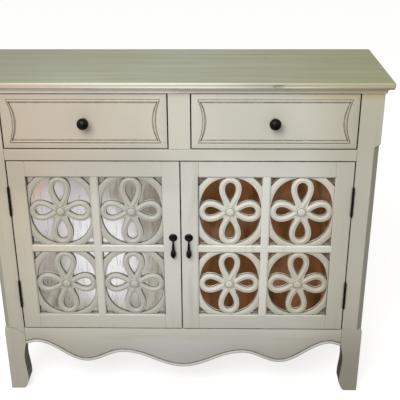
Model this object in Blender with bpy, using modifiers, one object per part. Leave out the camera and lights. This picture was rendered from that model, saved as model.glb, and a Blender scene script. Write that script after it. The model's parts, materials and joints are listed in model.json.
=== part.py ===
"""Narrow painted sideboard with two drawers over two mirrored fretwork doors.

Metres, +Z up, the front faces -Y. The origin is on the floor, at the middle of the
sideboard's plan, knobs included.
"""
import math

import bmesh
import bpy
from mathutils import Matrix, Vector

# Driving dimensions of the carcass
overall_height = 0.915
body_width = 0.994
body_depth = 0.316
seat_gap = 0.0003
merge_distance = 0.00001
smooth_angle = math.radians(35)
cut_overrun = 0.004

# Top board
top_thickness = 0.016
top_overhang_side = 0.018
top_overhang_front = 0.024
top_overhang_back = 0.005
top_edge_radius = 0.0055
top_edge_segments = 3

# Cove moulding under the top
cornice_height = 0.0157
cornice_reach = 0.0165
cornice_foot = 0.0035
cornice_fillet = 0.0026
cornice_steps = 6

# Corner posts and feet
post_width = 0.056
post_depth = 0.045
foot_width_at_floor = 0.0375
leg_curve_height = 0.163
leg_hollow_share = 0.155
chamfer_leg = 0.015
chamfer_below_doors = 0.0094
chamfer_above_mid_rail = 0.0147
chamfer_stop = 0.009

# Rails of the front
frame_thickness = 0.020
door_opening_bottom = 0.2074
mid_rail_height = 0.0302
drawer_opening_height = 0.1450
centre_stile_width = 0.054

# Shaped apron under the doors: heights of its lower edge
apron_end_height = 0.1605
apron_outer_dip = 0.0970
apron_inner_peak = 0.1280
apron_centre_dip = 0.0795
apron_end_lift_share = 0.1
apron_end_steps = 2
apron_steps = 7

# Boards inside
side_panel_thickness = 0.012
side_panel_recess = 0.007
side_arch_height = 0.128
side_arch_rise = 0.030
side_arch_steps = 14
back_thickness = 0.006
floor_thickness = 0.015
deck_thickness = 0.012
shelf_thickness = 0.015
shelf_height = 0.445
shelf_front_setback = 0.034
shelf_housing_depth = 0.006
partition_thickness = 0.018
guide_height = 0.020

# Drawers
drawer_side_gap = 0.003
drawer_edge_gap = 0.0025
drawer_front_thickness = 0.020
drawer_wall = 0.012
drawer_bottom_thickness = 0.006
drawer_bottom_raise = 0.008
drawer_box_inset = 0.001
drawer_box_headroom = 0.0267
drawer_back_drop = 0.010
drawer_rear_space = 0.016
bead_side_inset = 0.018
bead_top_inset = 0.0185
bead_bow = 0.0115
bead_band = 0.0080
bead_rise = 0.0012
bead_steps = 8

# Drawer knobs: radii and distances out from the drawer front
knob_base_radius = 0.0085
knob_base_length = 0.0035
knob_base_edge_share = 2 / 3
knob_neck_radius = 0.0048
knob_neck_length = 0.0050
knob_radius = 0.0142
knob_reach = 0.0335
knob_sides = 20
knob_steps = 8
knob_bolt_radius = 0.0020
knob_bolt_head_radius = 0.0042
knob_bolt_head_length = 0.0022

# Doors
door_edge_gap = 0.0025
door_hinge_gap = 0.003
door_meeting_gap = 0.003
door_thickness = 0.0255
door_stile_width = 0.0453
door_rail_height = 0.0438
muntin_width = 0.0215
pane_slope_width = 0.0035
pane_slope_share = 0.80
pocket_lip = 0.010
fret_recess = 0.0030
fret_thickness = 0.008
mirror_thickness = 0.003
backing_thickness = 0.0021

# Fretwork tile: a ring with four looped petals; tip shares are of half a pane, others of a pane
ring_side_margin = 0.0014
ring_top_margin = 0.0017
ring_squareness = 2.3
petal_band = 0.0140
petal_half_width = 0.01425
petal_tall_tip_share = 0.2587
petal_wide_tip_share = 0.2528
petal_frame_gap = 0.0008
petal_root_turn = math.radians(55)
waist_across_share = 0.0986
waist_up_share = 0.0859
corner_across_share = 0.1540
corner_up_share = 0.1340
corner_bulge = 0.0003
fret_arc_steps = 7
fret_ring_steps = 8
fret_corner_steps = 4
crossing_halvings = 40

# Butt hinges in the gap between door and post
hinge_length = 0.077
hinge_knuckle_radius = 0.0030
hinge_pin_radius = 0.0012
hinge_bore_radius = 0.0015
hinge_leaf_thickness = 0.0010
hinge_leaf_depth = 0.0190
hinge_stand_off = 0.0033
hinge_finial_height = 0.0035
hinge_finial_steps = 3
hinge_below_door_top = 0.1106
hinge_above_door_bottom = 0.1081
hinge_knuckles = 5
hinge_sides = 12

# Drop pulls on the doors
pull_above_door_middle = 0.03375
pull_in_from_edge = 0.0190
rosette_radius = 0.011
rosette_thickness = 0.003
rosette_rim = 0.0010
rosette_edge_share = 1 / 3
rosette_face_share = 2 / 3
rosette_sides = 20
pull_pivot_out = 0.0086
ear_radius = 0.0034
ear_thickness = 0.0020
ear_slot = 0.0034
ear_web_share = 0.9
pull_pin_radius = 0.0010
pull_eye_radius = 0.0029
pull_eye_bore = 0.0014
pull_eye_thickness = 0.0027
pull_neck_radius = 0.0013
pull_neck_drop = 0.0044
pull_shaft_radius = 0.0026
pull_bulb_radius = 0.0073
pull_bulb_drop = 0.0455
pull_tip_drop = 0.0575
pull_sides = 16
pull_steps = 5
pull_shoulder_share = 0.62
pull_shoulder_angle = math.radians(50)
pull_swell_power = 1.5
pull_tip_power = 0.9

# Door catches under the drawer deck
catch_width = 0.062
catch_depth = 0.014
catch_height = 0.034
catch_door_gap = 0.0004

# Places worked out from the driving dimensions
total_depth = knob_reach + body_depth + top_overhang_back
front = knob_reach - total_depth / 2
half_width = body_width / 2
post_inner = half_width - post_width
case_back = front + body_depth
rear_post_front = case_back - post_depth
top_underside = overall_height - top_thickness
case_top = top_underside - seat_gap
cornice_bottom = top_underside - cornice_height
drawer_opening_bottom = cornice_bottom - drawer_opening_height
door_opening_top = drawer_opening_bottom - mid_rail_height
chamfer_bottom = door_opening_bottom - chamfer_below_doors
chamfer_top = drawer_opening_bottom + chamfer_above_mid_rail
panel_outer = half_width - side_panel_recess
panel_inner = panel_outer - side_panel_thickness
back_face = case_back - back_thickness
centre_half = centre_stile_width / 2

# Material colours and values: colour, roughness, metallic
finishes = {
    "cream_paint": ((0.62, 0.58, 0.49), 0.48, 0.0),
    "sage_top": ((0.33, 0.35, 0.27), 0.38, 0.0),
    "plain_board": ((0.47, 0.36, 0.24), 0.65, 0.0),
    "mirror_glass": ((0.80, 0.81, 0.80), 0.04, 1.0),
    "dark_bronze": ((0.022, 0.019, 0.018), 0.35, 0.8),
    "black_hinge": ((0.018, 0.017, 0.016), 0.42, 0.7),
    "catch_plastic": ((0.20, 0.14, 0.10), 0.5, 0.0),
}

# Turns a flat outline drawn in X and Y upright, and points a turned piece's top at the viewer
upright = Matrix.Rotation(math.pi / 2, 4, "X")
# Turns a flat outline so that its X runs front to back and its Y becomes height
sideways = Matrix(((0, 0, 1, 0), (1, 0, 0, 0), (0, 1, 0, 0), (0, 0, 0, 1)))
# Lays a turned piece's axis across the sideboard
across = Matrix.Rotation(math.pi / 2, 4, "Y")


def clear_scene():
    for item in list(bpy.data.objects):
        bpy.data.objects.remove(item, do_unlink=True)


def make_collection(name):
    collection = bpy.data.collections.new(name)
    bpy.context.scene.collection.children.link(collection)
    return collection


def make_materials():
    made = {}
    for name, (colour, roughness, metallic) in finishes.items():
        material = bpy.data.materials.new(name)
        material.use_nodes = True
        shader = material.node_tree.nodes["Principled BSDF"]
        shader.inputs["Base Color"].default_value = (*colour, 1)
        shader.inputs["Roughness"].default_value = roughness
        shader.inputs["Metallic"].default_value = metallic
        material.diffuse_color = (*colour, 1)
        made[name] = material
    return made


clear_scene()
sideboard = make_collection("painted_sideboard")
cutters = make_collection("cutters")
materials = make_materials()


def keep(name, mesh, finish, place=None):
    """Puts a finished mesh in the sideboard's collection with its own copy of a finish."""
    piece = bpy.data.objects.new(name, mesh)
    piece.matrix_world = place or Matrix()
    material = materials[finish].copy()
    material.name = f"{name}_{finish}"
    mesh.materials.clear()
    mesh.materials.append(material)
    sideboard.objects.link(piece)
    return piece


def box_mesh(name, low, high):
    low, high = Vector(low), Vector(high)
    shape = bmesh.new()
    bmesh.ops.create_cube(shape, size=1)
    size = high - low
    bmesh.ops.scale(shape, vec=size, verts=shape.verts)
    bmesh.ops.translate(shape, vec=(low + high) / 2, verts=shape.verts)
    mesh = bpy.data.meshes.new(name)
    shape.to_mesh(mesh)
    shape.free()
    return mesh


def board(name, low, high, finish):
    """A plain rectangular board between two corners."""
    centre = (Vector(low) + Vector(high)) / 2
    mesh = box_mesh(name, Vector(low) - centre, Vector(high) - centre)
    return keep(name, mesh, finish, Matrix.Translation(centre))


def side_board(name, side, low, high, finish):
    """A board whose X limits are given for the right side, mirrored for side -1."""
    near, far = sorted((side * low[0], side * high[0]))
    return board(name, (near, low[1], low[2]), (far, high[1], high[2]), finish)


def cylinder_mesh(name, radius, length, sides):
    shape = bmesh.new()
    bmesh.ops.create_cone(shape, cap_ends=True, segments=sides, radius1=radius, radius2=radius, depth=length)
    mesh = bpy.data.meshes.new(name)
    shape.to_mesh(mesh)
    shape.free()
    return mesh


def plate_mesh(name, loops, thickness):
    """A flat outline with its holes, thickened evenly about its own plane."""
    curve = bpy.data.curves.new(name, "CURVE")
    curve.dimensions = "2D"
    curve.fill_mode = "BOTH"
    curve.extrude = thickness / 2
    for loop in loops:
        spline = curve.splines.new("POLY")
        spline.points.add(len(loop) - 1)
        spline.use_cyclic_u = True
        for point, (across_x, up_y) in zip(spline.points, loop):
            point.co = (across_x, up_y, 0, 1)
    flat = bpy.data.objects.new(name + "_outline", curve)
    cutters.objects.link(flat)
    graph = bpy.context.evaluated_depsgraph_get()
    mesh = bpy.data.meshes.new_from_object(flat.evaluated_get(graph))
    bpy.data.objects.remove(flat, do_unlink=True)
    shape = bmesh.new()
    shape.from_mesh(mesh)
    bmesh.ops.remove_doubles(shape, verts=shape.verts, dist=merge_distance)
    flat_faces = [face for face in shape.faces if abs(face.calc_center_median().z) > thickness / 4]
    inner = [edge for edge in shape.edges if all(face in flat_faces for face in edge.link_faces)]
    bmesh.ops.beautify_fill(shape, faces=flat_faces, edges=inner)
    bmesh.ops.recalc_face_normals(shape, faces=shape.faces)
    shape.to_mesh(mesh)
    shape.free()
    return mesh


def tapered_mesh(name, loops):
    """A skin through outlines of the same number of corners, closed flat at both ends."""
    shape = bmesh.new()
    rows = [[shape.verts.new(corner) for corner in loop] for loop in loops]
    for first, second in zip(rows, rows[1:]):
        for step in range(len(first)):
            following = (step + 1) % len(first)
            shape.faces.new((first[step], first[following], second[following], second[step]))
    ends = [shape.faces.new(rows[0]), shape.faces.new(rows[-1])]
    shape.normal_update()
    bmesh.ops.triangulate(shape, faces=ends)
    bmesh.ops.recalc_face_normals(shape, faces=shape.faces)
    mesh = bpy.data.meshes.new(name)
    shape.to_mesh(mesh)
    shape.free()
    return mesh


def turned_mesh(name, profile, sides):
    """A turned shape about Z: the profile runs down its outer side from top to bottom."""
    shape = bmesh.new()
    points = [shape.verts.new((radius, 0, height)) for radius, height in profile]
    for first, second in zip(points, points[1:]):
        shape.edges.new((first, second))
    wire = bpy.data.meshes.new(name)
    shape.to_mesh(wire)
    shape.free()
    lathe = bpy.data.objects.new(name + "_profile", wire)
    cutters.objects.link(lathe)
    screw = lathe.modifiers.new("turn", "SCREW")
    screw.steps = sides
    screw.render_steps = sides
    screw.use_merge_vertices = True
    screw.merge_threshold = merge_distance
    screw.use_smooth_shade = True
    graph = bpy.context.evaluated_depsgraph_get()
    mesh = bpy.data.meshes.new_from_object(lathe.evaluated_get(graph))
    bpy.data.objects.remove(lathe, do_unlink=True)
    mesh.set_sharp_from_angle(angle=smooth_angle)
    return mesh


def cutter(name, mesh, place=None):
    tool = bpy.data.objects.new(name, mesh)
    tool.matrix_world = place or Matrix()
    tool.hide_render = True
    tool.display_type = "WIRE"
    cutters.objects.link(tool)
    return tool


def combine(piece, tool, operation):
    step = piece.modifiers.new(tool.name, "BOOLEAN")
    step.operation = operation
    step.solver = "EXACT"
    step.object = tool


def cut(piece, tool):
    combine(piece, tool, "DIFFERENCE")


def fuse(piece, tool):
    combine(piece, tool, "UNION")


def wave(start, end, steps):
    """Points of a smooth half wave between two level places, the first left out."""
    points = []
    for step in range(1, steps + 1):
        share = step / steps
        eased = (1 - math.cos(math.pi * share)) / 2
        points.append((start[0] + (end[0] - start[0]) * share, start[1] + (end[1] - start[1]) * eased))
    return points


def make_top():
    low = (-half_width - top_overhang_side, front - top_overhang_front, top_underside)
    high = (half_width + top_overhang_side, case_back + top_overhang_back, overall_height)
    top = board("top_board", low, high, "sage_top")
    rounding = top.modifiers.new("rounded edges", "BEVEL")
    rounding.width = top_edge_radius
    rounding.segments = top_edge_segments


def cornice_profile():
    """The cove's section as distance out from the carcass face and height."""
    top = top_underside - seat_gap
    cove_top = top - cornice_fillet
    cove_bottom = cornice_bottom + cornice_fillet
    hollow = []
    for step in range(cornice_steps + 1):
        angle = math.pi / 2 * step / cornice_steps
        hollow.append((cornice_reach - (cornice_reach - cornice_foot) * math.sin(angle),
                       cove_top - (cove_top - cove_bottom) * (1 - math.cos(angle))))
    outline = [(seat_gap, top), (cornice_reach, top)]
    outline += hollow
    outline += [(cornice_foot, cornice_bottom), (seat_gap, cornice_bottom)]
    return outline


def make_cornice(name, near, far, along_front, side):
    """A length of cove whose mitred ends grow with the distance out from the carcass."""
    middle = (near + far) / 2
    length = far - near
    mesh = plate_mesh(name, [cornice_profile()], length)
    for vertex in mesh.vertices:
        out, height, along = vertex.co
        if along_front:
            along += math.copysign(out - seat_gap / 2, along)
            vertex.co = (along + middle, front - out, height)
        else:
            if along < 0:
                along -= out - seat_gap / 2
            vertex.co = (side * (half_width + out), along + middle, height)
    shape = bmesh.new()
    shape.from_mesh(mesh)
    bmesh.ops.recalc_face_normals(shape, faces=shape.faces)
    shape.to_mesh(mesh)
    shape.free()
    keep(name, mesh, "cream_paint")


def make_cornices():
    make_cornice("cornice_front", -half_width, half_width, True, 1)
    make_cornice("cornice_left", front, case_back, False, -1)
    make_cornice("cornice_right", front, case_back, False, 1)


def post_outline(side):
    """Front view of a post: straight outside, with a shaped foot on its inner edge."""
    hollow = post_width * leg_hollow_share
    foot_in = post_width - foot_width_at_floor
    # shares of the leg's height and of the inner edge's hollow, from the top of the curve down
    leg_shares = [(1.0, 0.0), (0.93, 0.12), (0.86, 0.42), (0.78, 0.74), (0.70, 0.94), (0.63, 1.0),
                  (0.54, 0.93), (0.43, 0.70), (0.32, 0.50), (0.24, 0.42), (0.17, 0.48)]
    # shares of the leg's height and of the foot's undercut at the floor
    toe_shares = [(0.12, 0.38), (0.07, 0.56), (0.03, 0.78), (0.0, 1.0)]
    points = [(half_width, 0), (half_width, case_top), (post_inner, case_top)]
    points += [(post_inner + hollow * inward, leg_curve_height * high) for high, inward in leg_shares]
    points += [(post_inner + foot_in * inward, leg_curve_height * high) for high, inward in toe_shares]
    return [(side * across_x, up_z) for across_x, up_z in points]


def chamfer_cutter(name, side):
    """A long wedge across the outer front edge, with sloped stops at both ends."""
    depth = chamfer_leg / math.sqrt(2)
    slope = chamfer_stop / depth
    reach = cut_overrun * slope
    outline = [(-depth, chamfer_bottom + chamfer_stop), (cut_overrun, chamfer_bottom - reach),
               (cut_overrun, chamfer_top + reach), (-depth, chamfer_top - chamfer_stop)]
    mesh = plate_mesh(name, [outline], 2 * (chamfer_leg + cut_overrun))
    turn = -math.pi / 4 if side > 0 else -3 * math.pi / 4
    place = Matrix.Translation((side * half_width, front, 0)) @ Matrix.Rotation(turn, 4, "Z")
    return cutter(name, mesh, place @ upright)


def make_posts():
    housing_low = shelf_height - seat_gap
    housing_high = shelf_height + shelf_thickness + seat_gap
    housing_span = {"front": (front + shelf_front_setback - seat_gap, front + post_depth + cut_overrun),
                    "rear": (rear_post_front - cut_overrun, back_face)}
    for side, word in ((-1, "left"), (1, "right")):
        for row, near in (("front", front), ("rear", rear_post_front)):
            name = f"post_{row}_{word}"
            mesh = plate_mesh(name, [post_outline(side)], post_depth)
            middle = Matrix.Translation((0, near + post_depth / 2, 0))
            post = keep(name, mesh, "cream_paint", middle @ upright)
            mouth = post_inner - cut_overrun
            first, second = sorted((side * mouth, side * (post_inner + shelf_housing_depth)))
            start, end = housing_span[row]
            slot = box_mesh("slot", (first, start, housing_low), (second, end, housing_high))
            cut(post, cutter(f"shelf_housing_{row}_{word}", slot))
            if row == "front":
                cut(post, chamfer_cutter(f"chamfer_{word}", side))


def make_front_rails():
    reach = post_inner - seat_gap
    back = front + frame_thickness
    low = (-reach, front, cornice_bottom)
    board("top_rail", low, (reach, back, case_top), "cream_paint")
    low = (-reach, front, door_opening_top)
    board("mid_rail", low, (reach, back, drawer_opening_bottom), "cream_paint")
    low = (-centre_half, front, drawer_opening_bottom + seat_gap)
    board("centre_stile", low, (centre_half, back, cornice_bottom - seat_gap), "cream_paint")


def apron_half():
    """The lower edge of the apron from its end towards the middle."""
    reach = post_inner - seat_gap
    # shares of the half width at the end peak, outer dip, inner peak and centre dip
    place_shares = (0.9365, 0.617, 0.381, 0.0)
    heights = (apron_end_height, apron_outer_dip, apron_inner_peak, apron_centre_dip)
    end_lift = (apron_end_height - apron_outer_dip) * apron_end_lift_share
    points = [(reach, apron_end_height - end_lift)]
    turns = [(reach * share, height) for share, height in zip(place_shares, heights)]
    points += wave(points[0], turns[0], apron_end_steps)
    for start, end in zip(turns, turns[1:]):
        points += wave(start, end, apron_steps)
    return points


def make_apron():
    half = apron_half()
    mirrored = [(-across_x, up_z) for across_x, up_z in reversed(half[:-1])]
    outline = half + mirrored
    reach = post_inner - seat_gap
    outline += [(-reach, door_opening_bottom), (reach, door_opening_bottom)]
    mesh = plate_mesh("apron", [outline], frame_thickness)
    place = Matrix.Translation((0, front + frame_thickness / 2, 0)) @ upright
    keep("apron", mesh, "cream_paint", place)


def make_side_panels():
    near = front + post_depth + seat_gap
    far = rear_post_front - seat_gap
    length = far - near
    outline = [(near, case_top), (far, case_top)]
    for step in range(side_arch_steps + 1):
        share = step / side_arch_steps
        rise = side_arch_rise * math.sin(math.pi * share) ** 2
        outline.append((far - length * share, side_arch_height + rise))
    for side, word in ((-1, "left"), (1, "right")):
        name = f"side_panel_{word}"
        mesh = plate_mesh(name, [outline], side_panel_thickness)
        place = Matrix.Translation((side * (panel_outer + panel_inner) / 2, 0, 0)) @ sideways
        keep(name, mesh, "cream_paint", place)


def notched_outline(narrow, near, far):
    """Plan of a board that fills the carcass and steps round its four posts."""
    wide = panel_inner - seat_gap
    front_notch = front + post_depth + seat_gap
    rear_notch = rear_post_front - seat_gap
    quarter = [(narrow, near), (narrow, front_notch), (wide, front_notch),
               (wide, rear_notch), (narrow, rear_notch), (narrow, far)]
    return quarter + [(-across_x, along_y) for across_x, along_y in reversed(quarter)]


def make_inner_boards():
    near = front + frame_thickness + seat_gap
    far = back_face - seat_gap
    between_posts = post_inner - seat_gap
    outline = notched_outline(between_posts, near, far)
    lift = Matrix.Translation((0, 0, door_opening_bottom - floor_thickness / 2))
    keep("cabinet_floor", plate_mesh("cabinet_floor", [outline], floor_thickness), "plain_board", lift)
    lift = Matrix.Translation((0, 0, drawer_opening_bottom - deck_thickness / 2))
    deck = keep("drawer_deck", plate_mesh("drawer_deck", [outline], deck_thickness), "plain_board", lift)
    for side, word in ((-1, "left"), (1, "right")):
        first, second = sorted((side * post_inner, side * (panel_inner - 2 * seat_gap)))
        low = (first, front + post_depth + 2 * seat_gap, drawer_opening_bottom - deck_thickness / 2)
        high = (second, rear_post_front - 2 * seat_gap, drawer_opening_bottom + guide_height)
        fuse(deck, cutter(f"drawer_guide_{word}", box_mesh("guide", low, high)))
    housed = post_inner + shelf_housing_depth - seat_gap
    shelf_plan = notched_outline(housed, front + shelf_front_setback, far)
    lift = Matrix.Translation((0, 0, shelf_height + shelf_thickness / 2))
    keep("shelf", plate_mesh("shelf", [shelf_plan], shelf_thickness), "plain_board", lift)


def make_back_panel():
    reach = post_inner - seat_gap
    low = (-reach, back_face, door_opening_bottom - floor_thickness)
    board("back_panel", low, (reach, case_back, case_top), "plain_board")


def make_partition():
    """The upright board between the drawers, with a strip each side that keeps a drawer straight."""
    half = partition_thickness / 2
    base = drawer_opening_bottom + seat_gap
    ledge = base + guide_height
    right = [(centre_half, base), (centre_half, ledge), (half, ledge), (half, case_top)]
    outline = right + [(-across_x, up_z) for across_x, up_z in reversed(right)]
    near = front + frame_thickness + seat_gap
    far = back_face - seat_gap
    place = Matrix.Translation((0, (near + far) / 2, 0)) @ upright
    keep("drawer_partition", plate_mesh("drawer_partition", [outline], far - near), "plain_board", place)


def make_catch():
    near = front + door_thickness + catch_door_gap
    top = drawer_opening_bottom - deck_thickness - seat_gap
    low = (-catch_width / 2, near, top - catch_height)
    board("door_catch", low, (catch_width / 2, near + catch_depth, top), "catch_plastic")


def bowed_outline(half_long, half_high, inset, bow):
    """A long rectangle whose two ends are bowed inwards."""
    long = half_long - inset
    high = half_high - inset
    right = []
    for step in range(bead_steps + 1):
        share = 2 * step / bead_steps - 1
        right.append((long - bow * (1 - share * share), high * share))
    return right + [(-across_x, up_z) for across_x, up_z in reversed(right)]


def drawer_span(side):
    """The X limits of a drawer front."""
    return sorted((side * (centre_half + drawer_side_gap), side * (post_inner - drawer_side_gap)))


def make_drawer(side, word):
    left, right = drawer_span(side)
    middle = (left + right) / 2
    bottom = drawer_opening_bottom + drawer_edge_gap
    top = cornice_bottom - drawer_edge_gap
    height_middle = (bottom + top) / 2
    pieces = []
    low = (left, front, bottom)
    face = board(f"drawer_{word}_front", low, (right, front + drawer_front_thickness, top), "cream_paint")
    half_long = (right - left) / 2 - bead_side_inset
    half_high = (top - bottom) / 2 - bead_top_inset
    loops = [bowed_outline(half_long, half_high, 0, bead_bow),
             bowed_outline(half_long, half_high, bead_band, bead_bow)]
    band = plate_mesh(f"bead_{word}", loops, 2 * bead_rise)
    fuse(face, cutter(f"bead_{word}", band, Matrix.Translation((middle, front, height_middle)) @ upright))
    bolt_hole = cylinder_mesh(f"knob_hole_{word}", knob_bolt_radius + seat_gap,
                              2 * (drawer_front_thickness + cut_overrun), hinge_sides)
    place = Matrix.Translation((middle, front, height_middle)) @ upright
    cut(face, cutter(f"knob_hole_{word}", bolt_hole, place))
    pieces.append(face)
    box_left, box_right = left + drawer_box_inset, right - drawer_box_inset
    near = front + drawer_front_thickness + seat_gap
    far = back_face - drawer_rear_space
    base = drawer_opening_bottom + seat_gap
    lid = cornice_bottom - drawer_box_headroom
    walls = (("left", box_left, box_left + drawer_wall), ("right", box_right - drawer_wall, box_right))
    for name, first, second in walls:
        wall = board(f"drawer_{word}_side_{name}", (first, near, base), (second, far, lid), "plain_board")
        pieces.append(wall)
    inner_left = box_left + drawer_wall + seat_gap
    inner_right = box_right - drawer_wall - seat_gap
    back_low = (inner_left, far - drawer_wall, base)
    back_high = (inner_right, far, lid - drawer_back_drop)
    pieces.append(board(f"drawer_{word}_back", back_low, back_high, "plain_board"))
    sheet_base = base + drawer_bottom_raise
    sheet_high = (inner_right, far - drawer_wall - seat_gap, sheet_base + drawer_bottom_thickness)
    pieces.append(board(f"drawer_{word}_bottom", (inner_left, near, sheet_base), sheet_high, "plain_board"))
    pieces.append(make_knob(word, middle, height_middle))
    return pieces


def knob_profile():
    """Radius and distance out of a round knob, its base and the bolt behind it, front first."""
    neck_top = knob_base_length + knob_neck_length
    ball_half = (knob_reach - neck_top) / 2
    ball_middle = knob_reach - ball_half
    points = [(0, knob_reach)]
    for step in range(1, knob_steps):
        angle = math.pi / 2 - math.pi * step / knob_steps
        points.append((knob_radius * math.cos(angle), ball_middle + ball_half * math.sin(angle)))
    inside = -drawer_front_thickness - seat_gap
    bolt_end = inside - knob_bolt_head_length
    points += [(knob_neck_radius, neck_top), (knob_neck_radius, knob_base_length),
               (knob_base_radius, knob_base_length * knob_base_edge_share), (knob_base_radius, seat_gap),
               (knob_bolt_radius, seat_gap), (knob_bolt_radius, inside),
               (knob_bolt_head_radius, inside), (knob_bolt_head_radius, bolt_end), (0, bolt_end)]
    return points


def make_knob(word, middle, height):
    place = Matrix.Translation((middle, front, height)) @ upright
    mesh = turned_mesh("knob", knob_profile(), knob_sides)
    return keep(f"drawer_{word}_knob", mesh, "dark_bronze", place)


# Places on a door, worked out once for the right door and mirrored for the left
door_near_edge = door_meeting_gap / 2
door_far_edge = post_inner - door_hinge_gap
door_bottom = door_opening_bottom + door_edge_gap
door_top = door_opening_top - door_edge_gap
glass_near = door_near_edge + door_stile_width
glass_far = door_far_edge - door_stile_width
glass_bottom = door_bottom + door_rail_height
glass_top = door_top - door_rail_height
pane_width = (glass_far - glass_near - muntin_width) / 2
pane_height = (glass_top - glass_bottom - muntin_width) / 2
pane_slope_depth = fret_recess * pane_slope_share
hinge_x = post_inner - door_hinge_gap / 2
hinge_y = front - hinge_stand_off
hinge_heights = {"upper": door_top - hinge_below_door_top, "lower": door_bottom + hinge_above_door_bottom}
pull_height = (door_bottom + door_top) / 2 + pull_above_door_middle
pull_x = door_near_edge + pull_in_from_edge
pull_y = front - pull_pivot_out


def pane_middles():
    """The four panes of the right door, as places of their centres."""
    half_across = (pane_width + muntin_width) / 2
    half_up = (pane_height + muntin_width) / 2
    middle_x = (glass_near + glass_far) / 2
    middle_z = (glass_bottom + glass_top) / 2
    return [(middle_x + side * half_across, middle_z + level * half_up)
            for level in (1, -1) for side in (-1, 1)]


def pocket_cutter(name, side):
    """The space behind the door frame's lip that holds fretwork, mirror and backing."""
    first, second = sorted((side * (glass_near - pocket_lip), side * (glass_far + pocket_lip)))
    low = (first, front + fret_recess, glass_bottom - pocket_lip)
    high = (second, front + door_thickness + cut_overrun, glass_top + pocket_lip)
    return cutter(name, box_mesh(name, low, high))


def slope_cutter(name, side):
    """A plug that widens towards the front, for the sloped edges round the door's opening."""
    middle_x, middle_z = side * (glass_near + glass_far) / 2, (glass_bottom + glass_top) / 2
    half_x, half_z = (glass_far - glass_near) / 2, (glass_top - glass_bottom) / 2
    loops = []
    for depth in (-cut_overrun, pane_slope_depth + cut_overrun):
        spread = pane_slope_width * (1 - depth / pane_slope_depth)
        corners = ((-1, -1), (1, -1), (1, 1), (-1, 1))
        reach_x, reach_z = half_x + spread, half_z + spread
        loops.append([(middle_x + turn_x * reach_x, front + depth, middle_z + turn_z * reach_z)
                      for turn_x, turn_z in corners])
    return cutter(name, tapered_mesh(name, loops))


def make_door_frame(side, word):
    back = front + door_thickness
    pocket = pocket_cutter(f"pocket_{word}", side)
    slope = slope_cutter(f"slope_{word}", side)
    rail_near = glass_near + seat_gap
    rail_far = glass_far - seat_gap
    frame_bars = (
        ("stile_meeting", (door_near_edge, front, door_bottom), (glass_near, back, door_top)),
        ("stile_hinge", (glass_far, front, door_bottom), (door_far_edge, back, door_top)),
        ("rail_top", (rail_near, front, glass_top), (rail_far, back, door_top)),
        ("rail_bottom", (rail_near, front, door_bottom), (rail_far, back, glass_bottom)),
    )
    pieces = []
    for name, low, high in frame_bars:
        bar = side_board(f"door_{word}_{name}", side, low, high, "cream_paint")
        cut(bar, pocket)
        cut(bar, slope)
        pieces.append(bar)
    return pieces


def cross_outline(half_bar, half_across, half_up):
    """An upright cross: four corners at its ends, twelve in all."""
    corner = [(half_bar, half_up), (half_bar, half_bar), (half_across, half_bar)]
    right = corner + [(across_x, -up_z) for across_x, up_z in reversed(corner)]
    return right + [(-across_x, -up_z) for across_x, up_z in right]


def make_muntins(side, word):
    """An upright and a level bar in front of the fretwork, sloped like the frame's inner edges."""
    middle_x, middle_z = side * (glass_near + glass_far) / 2, (glass_bottom + glass_top) / 2
    end_gap = seat_gap * math.hypot(1, pane_slope_width / pane_slope_depth)
    half_across = (glass_far - glass_near) / 2 - end_gap
    half_up = (glass_top - glass_bottom) / 2 - end_gap
    loops = []
    for depth, spread in ((0, pane_slope_width), (pane_slope_depth, 0), (fret_recess - seat_gap, 0)):
        outline = cross_outline(muntin_width / 2 - spread, half_across + spread, half_up + spread)
        loops.append([(middle_x + x, front + depth, middle_z + z) for x, z in outline])
    name = f"door_{word}_muntins"
    return keep(name, tapered_mesh(name, loops), "cream_paint")


def ring_point(ring, angle):
    """A point of the ring's inner edge, an ellipse drawn a little square."""
    cosine, sine = math.cos(angle), math.sin(angle)
    across_part = (cosine / ring[0]) ** ring_squareness
    up_part = (sine / ring[1]) ** ring_squareness
    reach = (across_part + up_part) ** (-1 / ring_squareness)
    return reach * cosine, reach * sine


def petal_point(tip, end, turn, out):
    """A point beside a petal's teardrop hole along +X; turn runs from its tip to its round end."""
    reach = (end - tip) / 2
    # sin(turn) * sin(turn / 2) is largest at this value
    swell = petal_half_width / (4 / (3 * math.sqrt(3)))
    x = tip + reach * (1 - math.cos(turn))
    y = swell * math.sin(turn) * math.sin(turn / 2)
    along_x = reach * math.sin(turn)
    along_y = swell * (math.cos(turn) * math.sin(turn / 2) + math.sin(turn) * math.cos(turn / 2) / 2)
    length = math.hypot(along_x, along_y)
    return x - out * along_y / length, y + out * along_x / length


def petal_spans():
    """The tall and the wide petal's hole, as tip and round end measured from the tile's centre."""
    spans = []
    for half, tip_share in ((pane_height / 2, petal_tall_tip_share), (pane_width / 2, petal_wide_tip_share)):
        spans.append((half * tip_share, half - petal_frame_gap - petal_band))
    return spans


def petal_side(span, ring):
    """A petal's outer edge from its root to where it meets the ring's inner edge."""
    inside, outside = petal_root_turn, math.pi
    for _ in range(crossing_halvings):
        middle = (inside + outside) / 2
        x, y = petal_point(*span, middle, petal_band)
        edge = ring_point(ring, math.atan2(abs(y), abs(x)))
        if math.hypot(x, y) < math.hypot(*edge):
            inside = middle
        else:
            outside = middle
    step_turn = (inside - petal_root_turn) / fret_arc_steps
    return [petal_point(*span, petal_root_turn + step_turn * step, petal_band)
            for step in range(fret_arc_steps + 1)]


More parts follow.
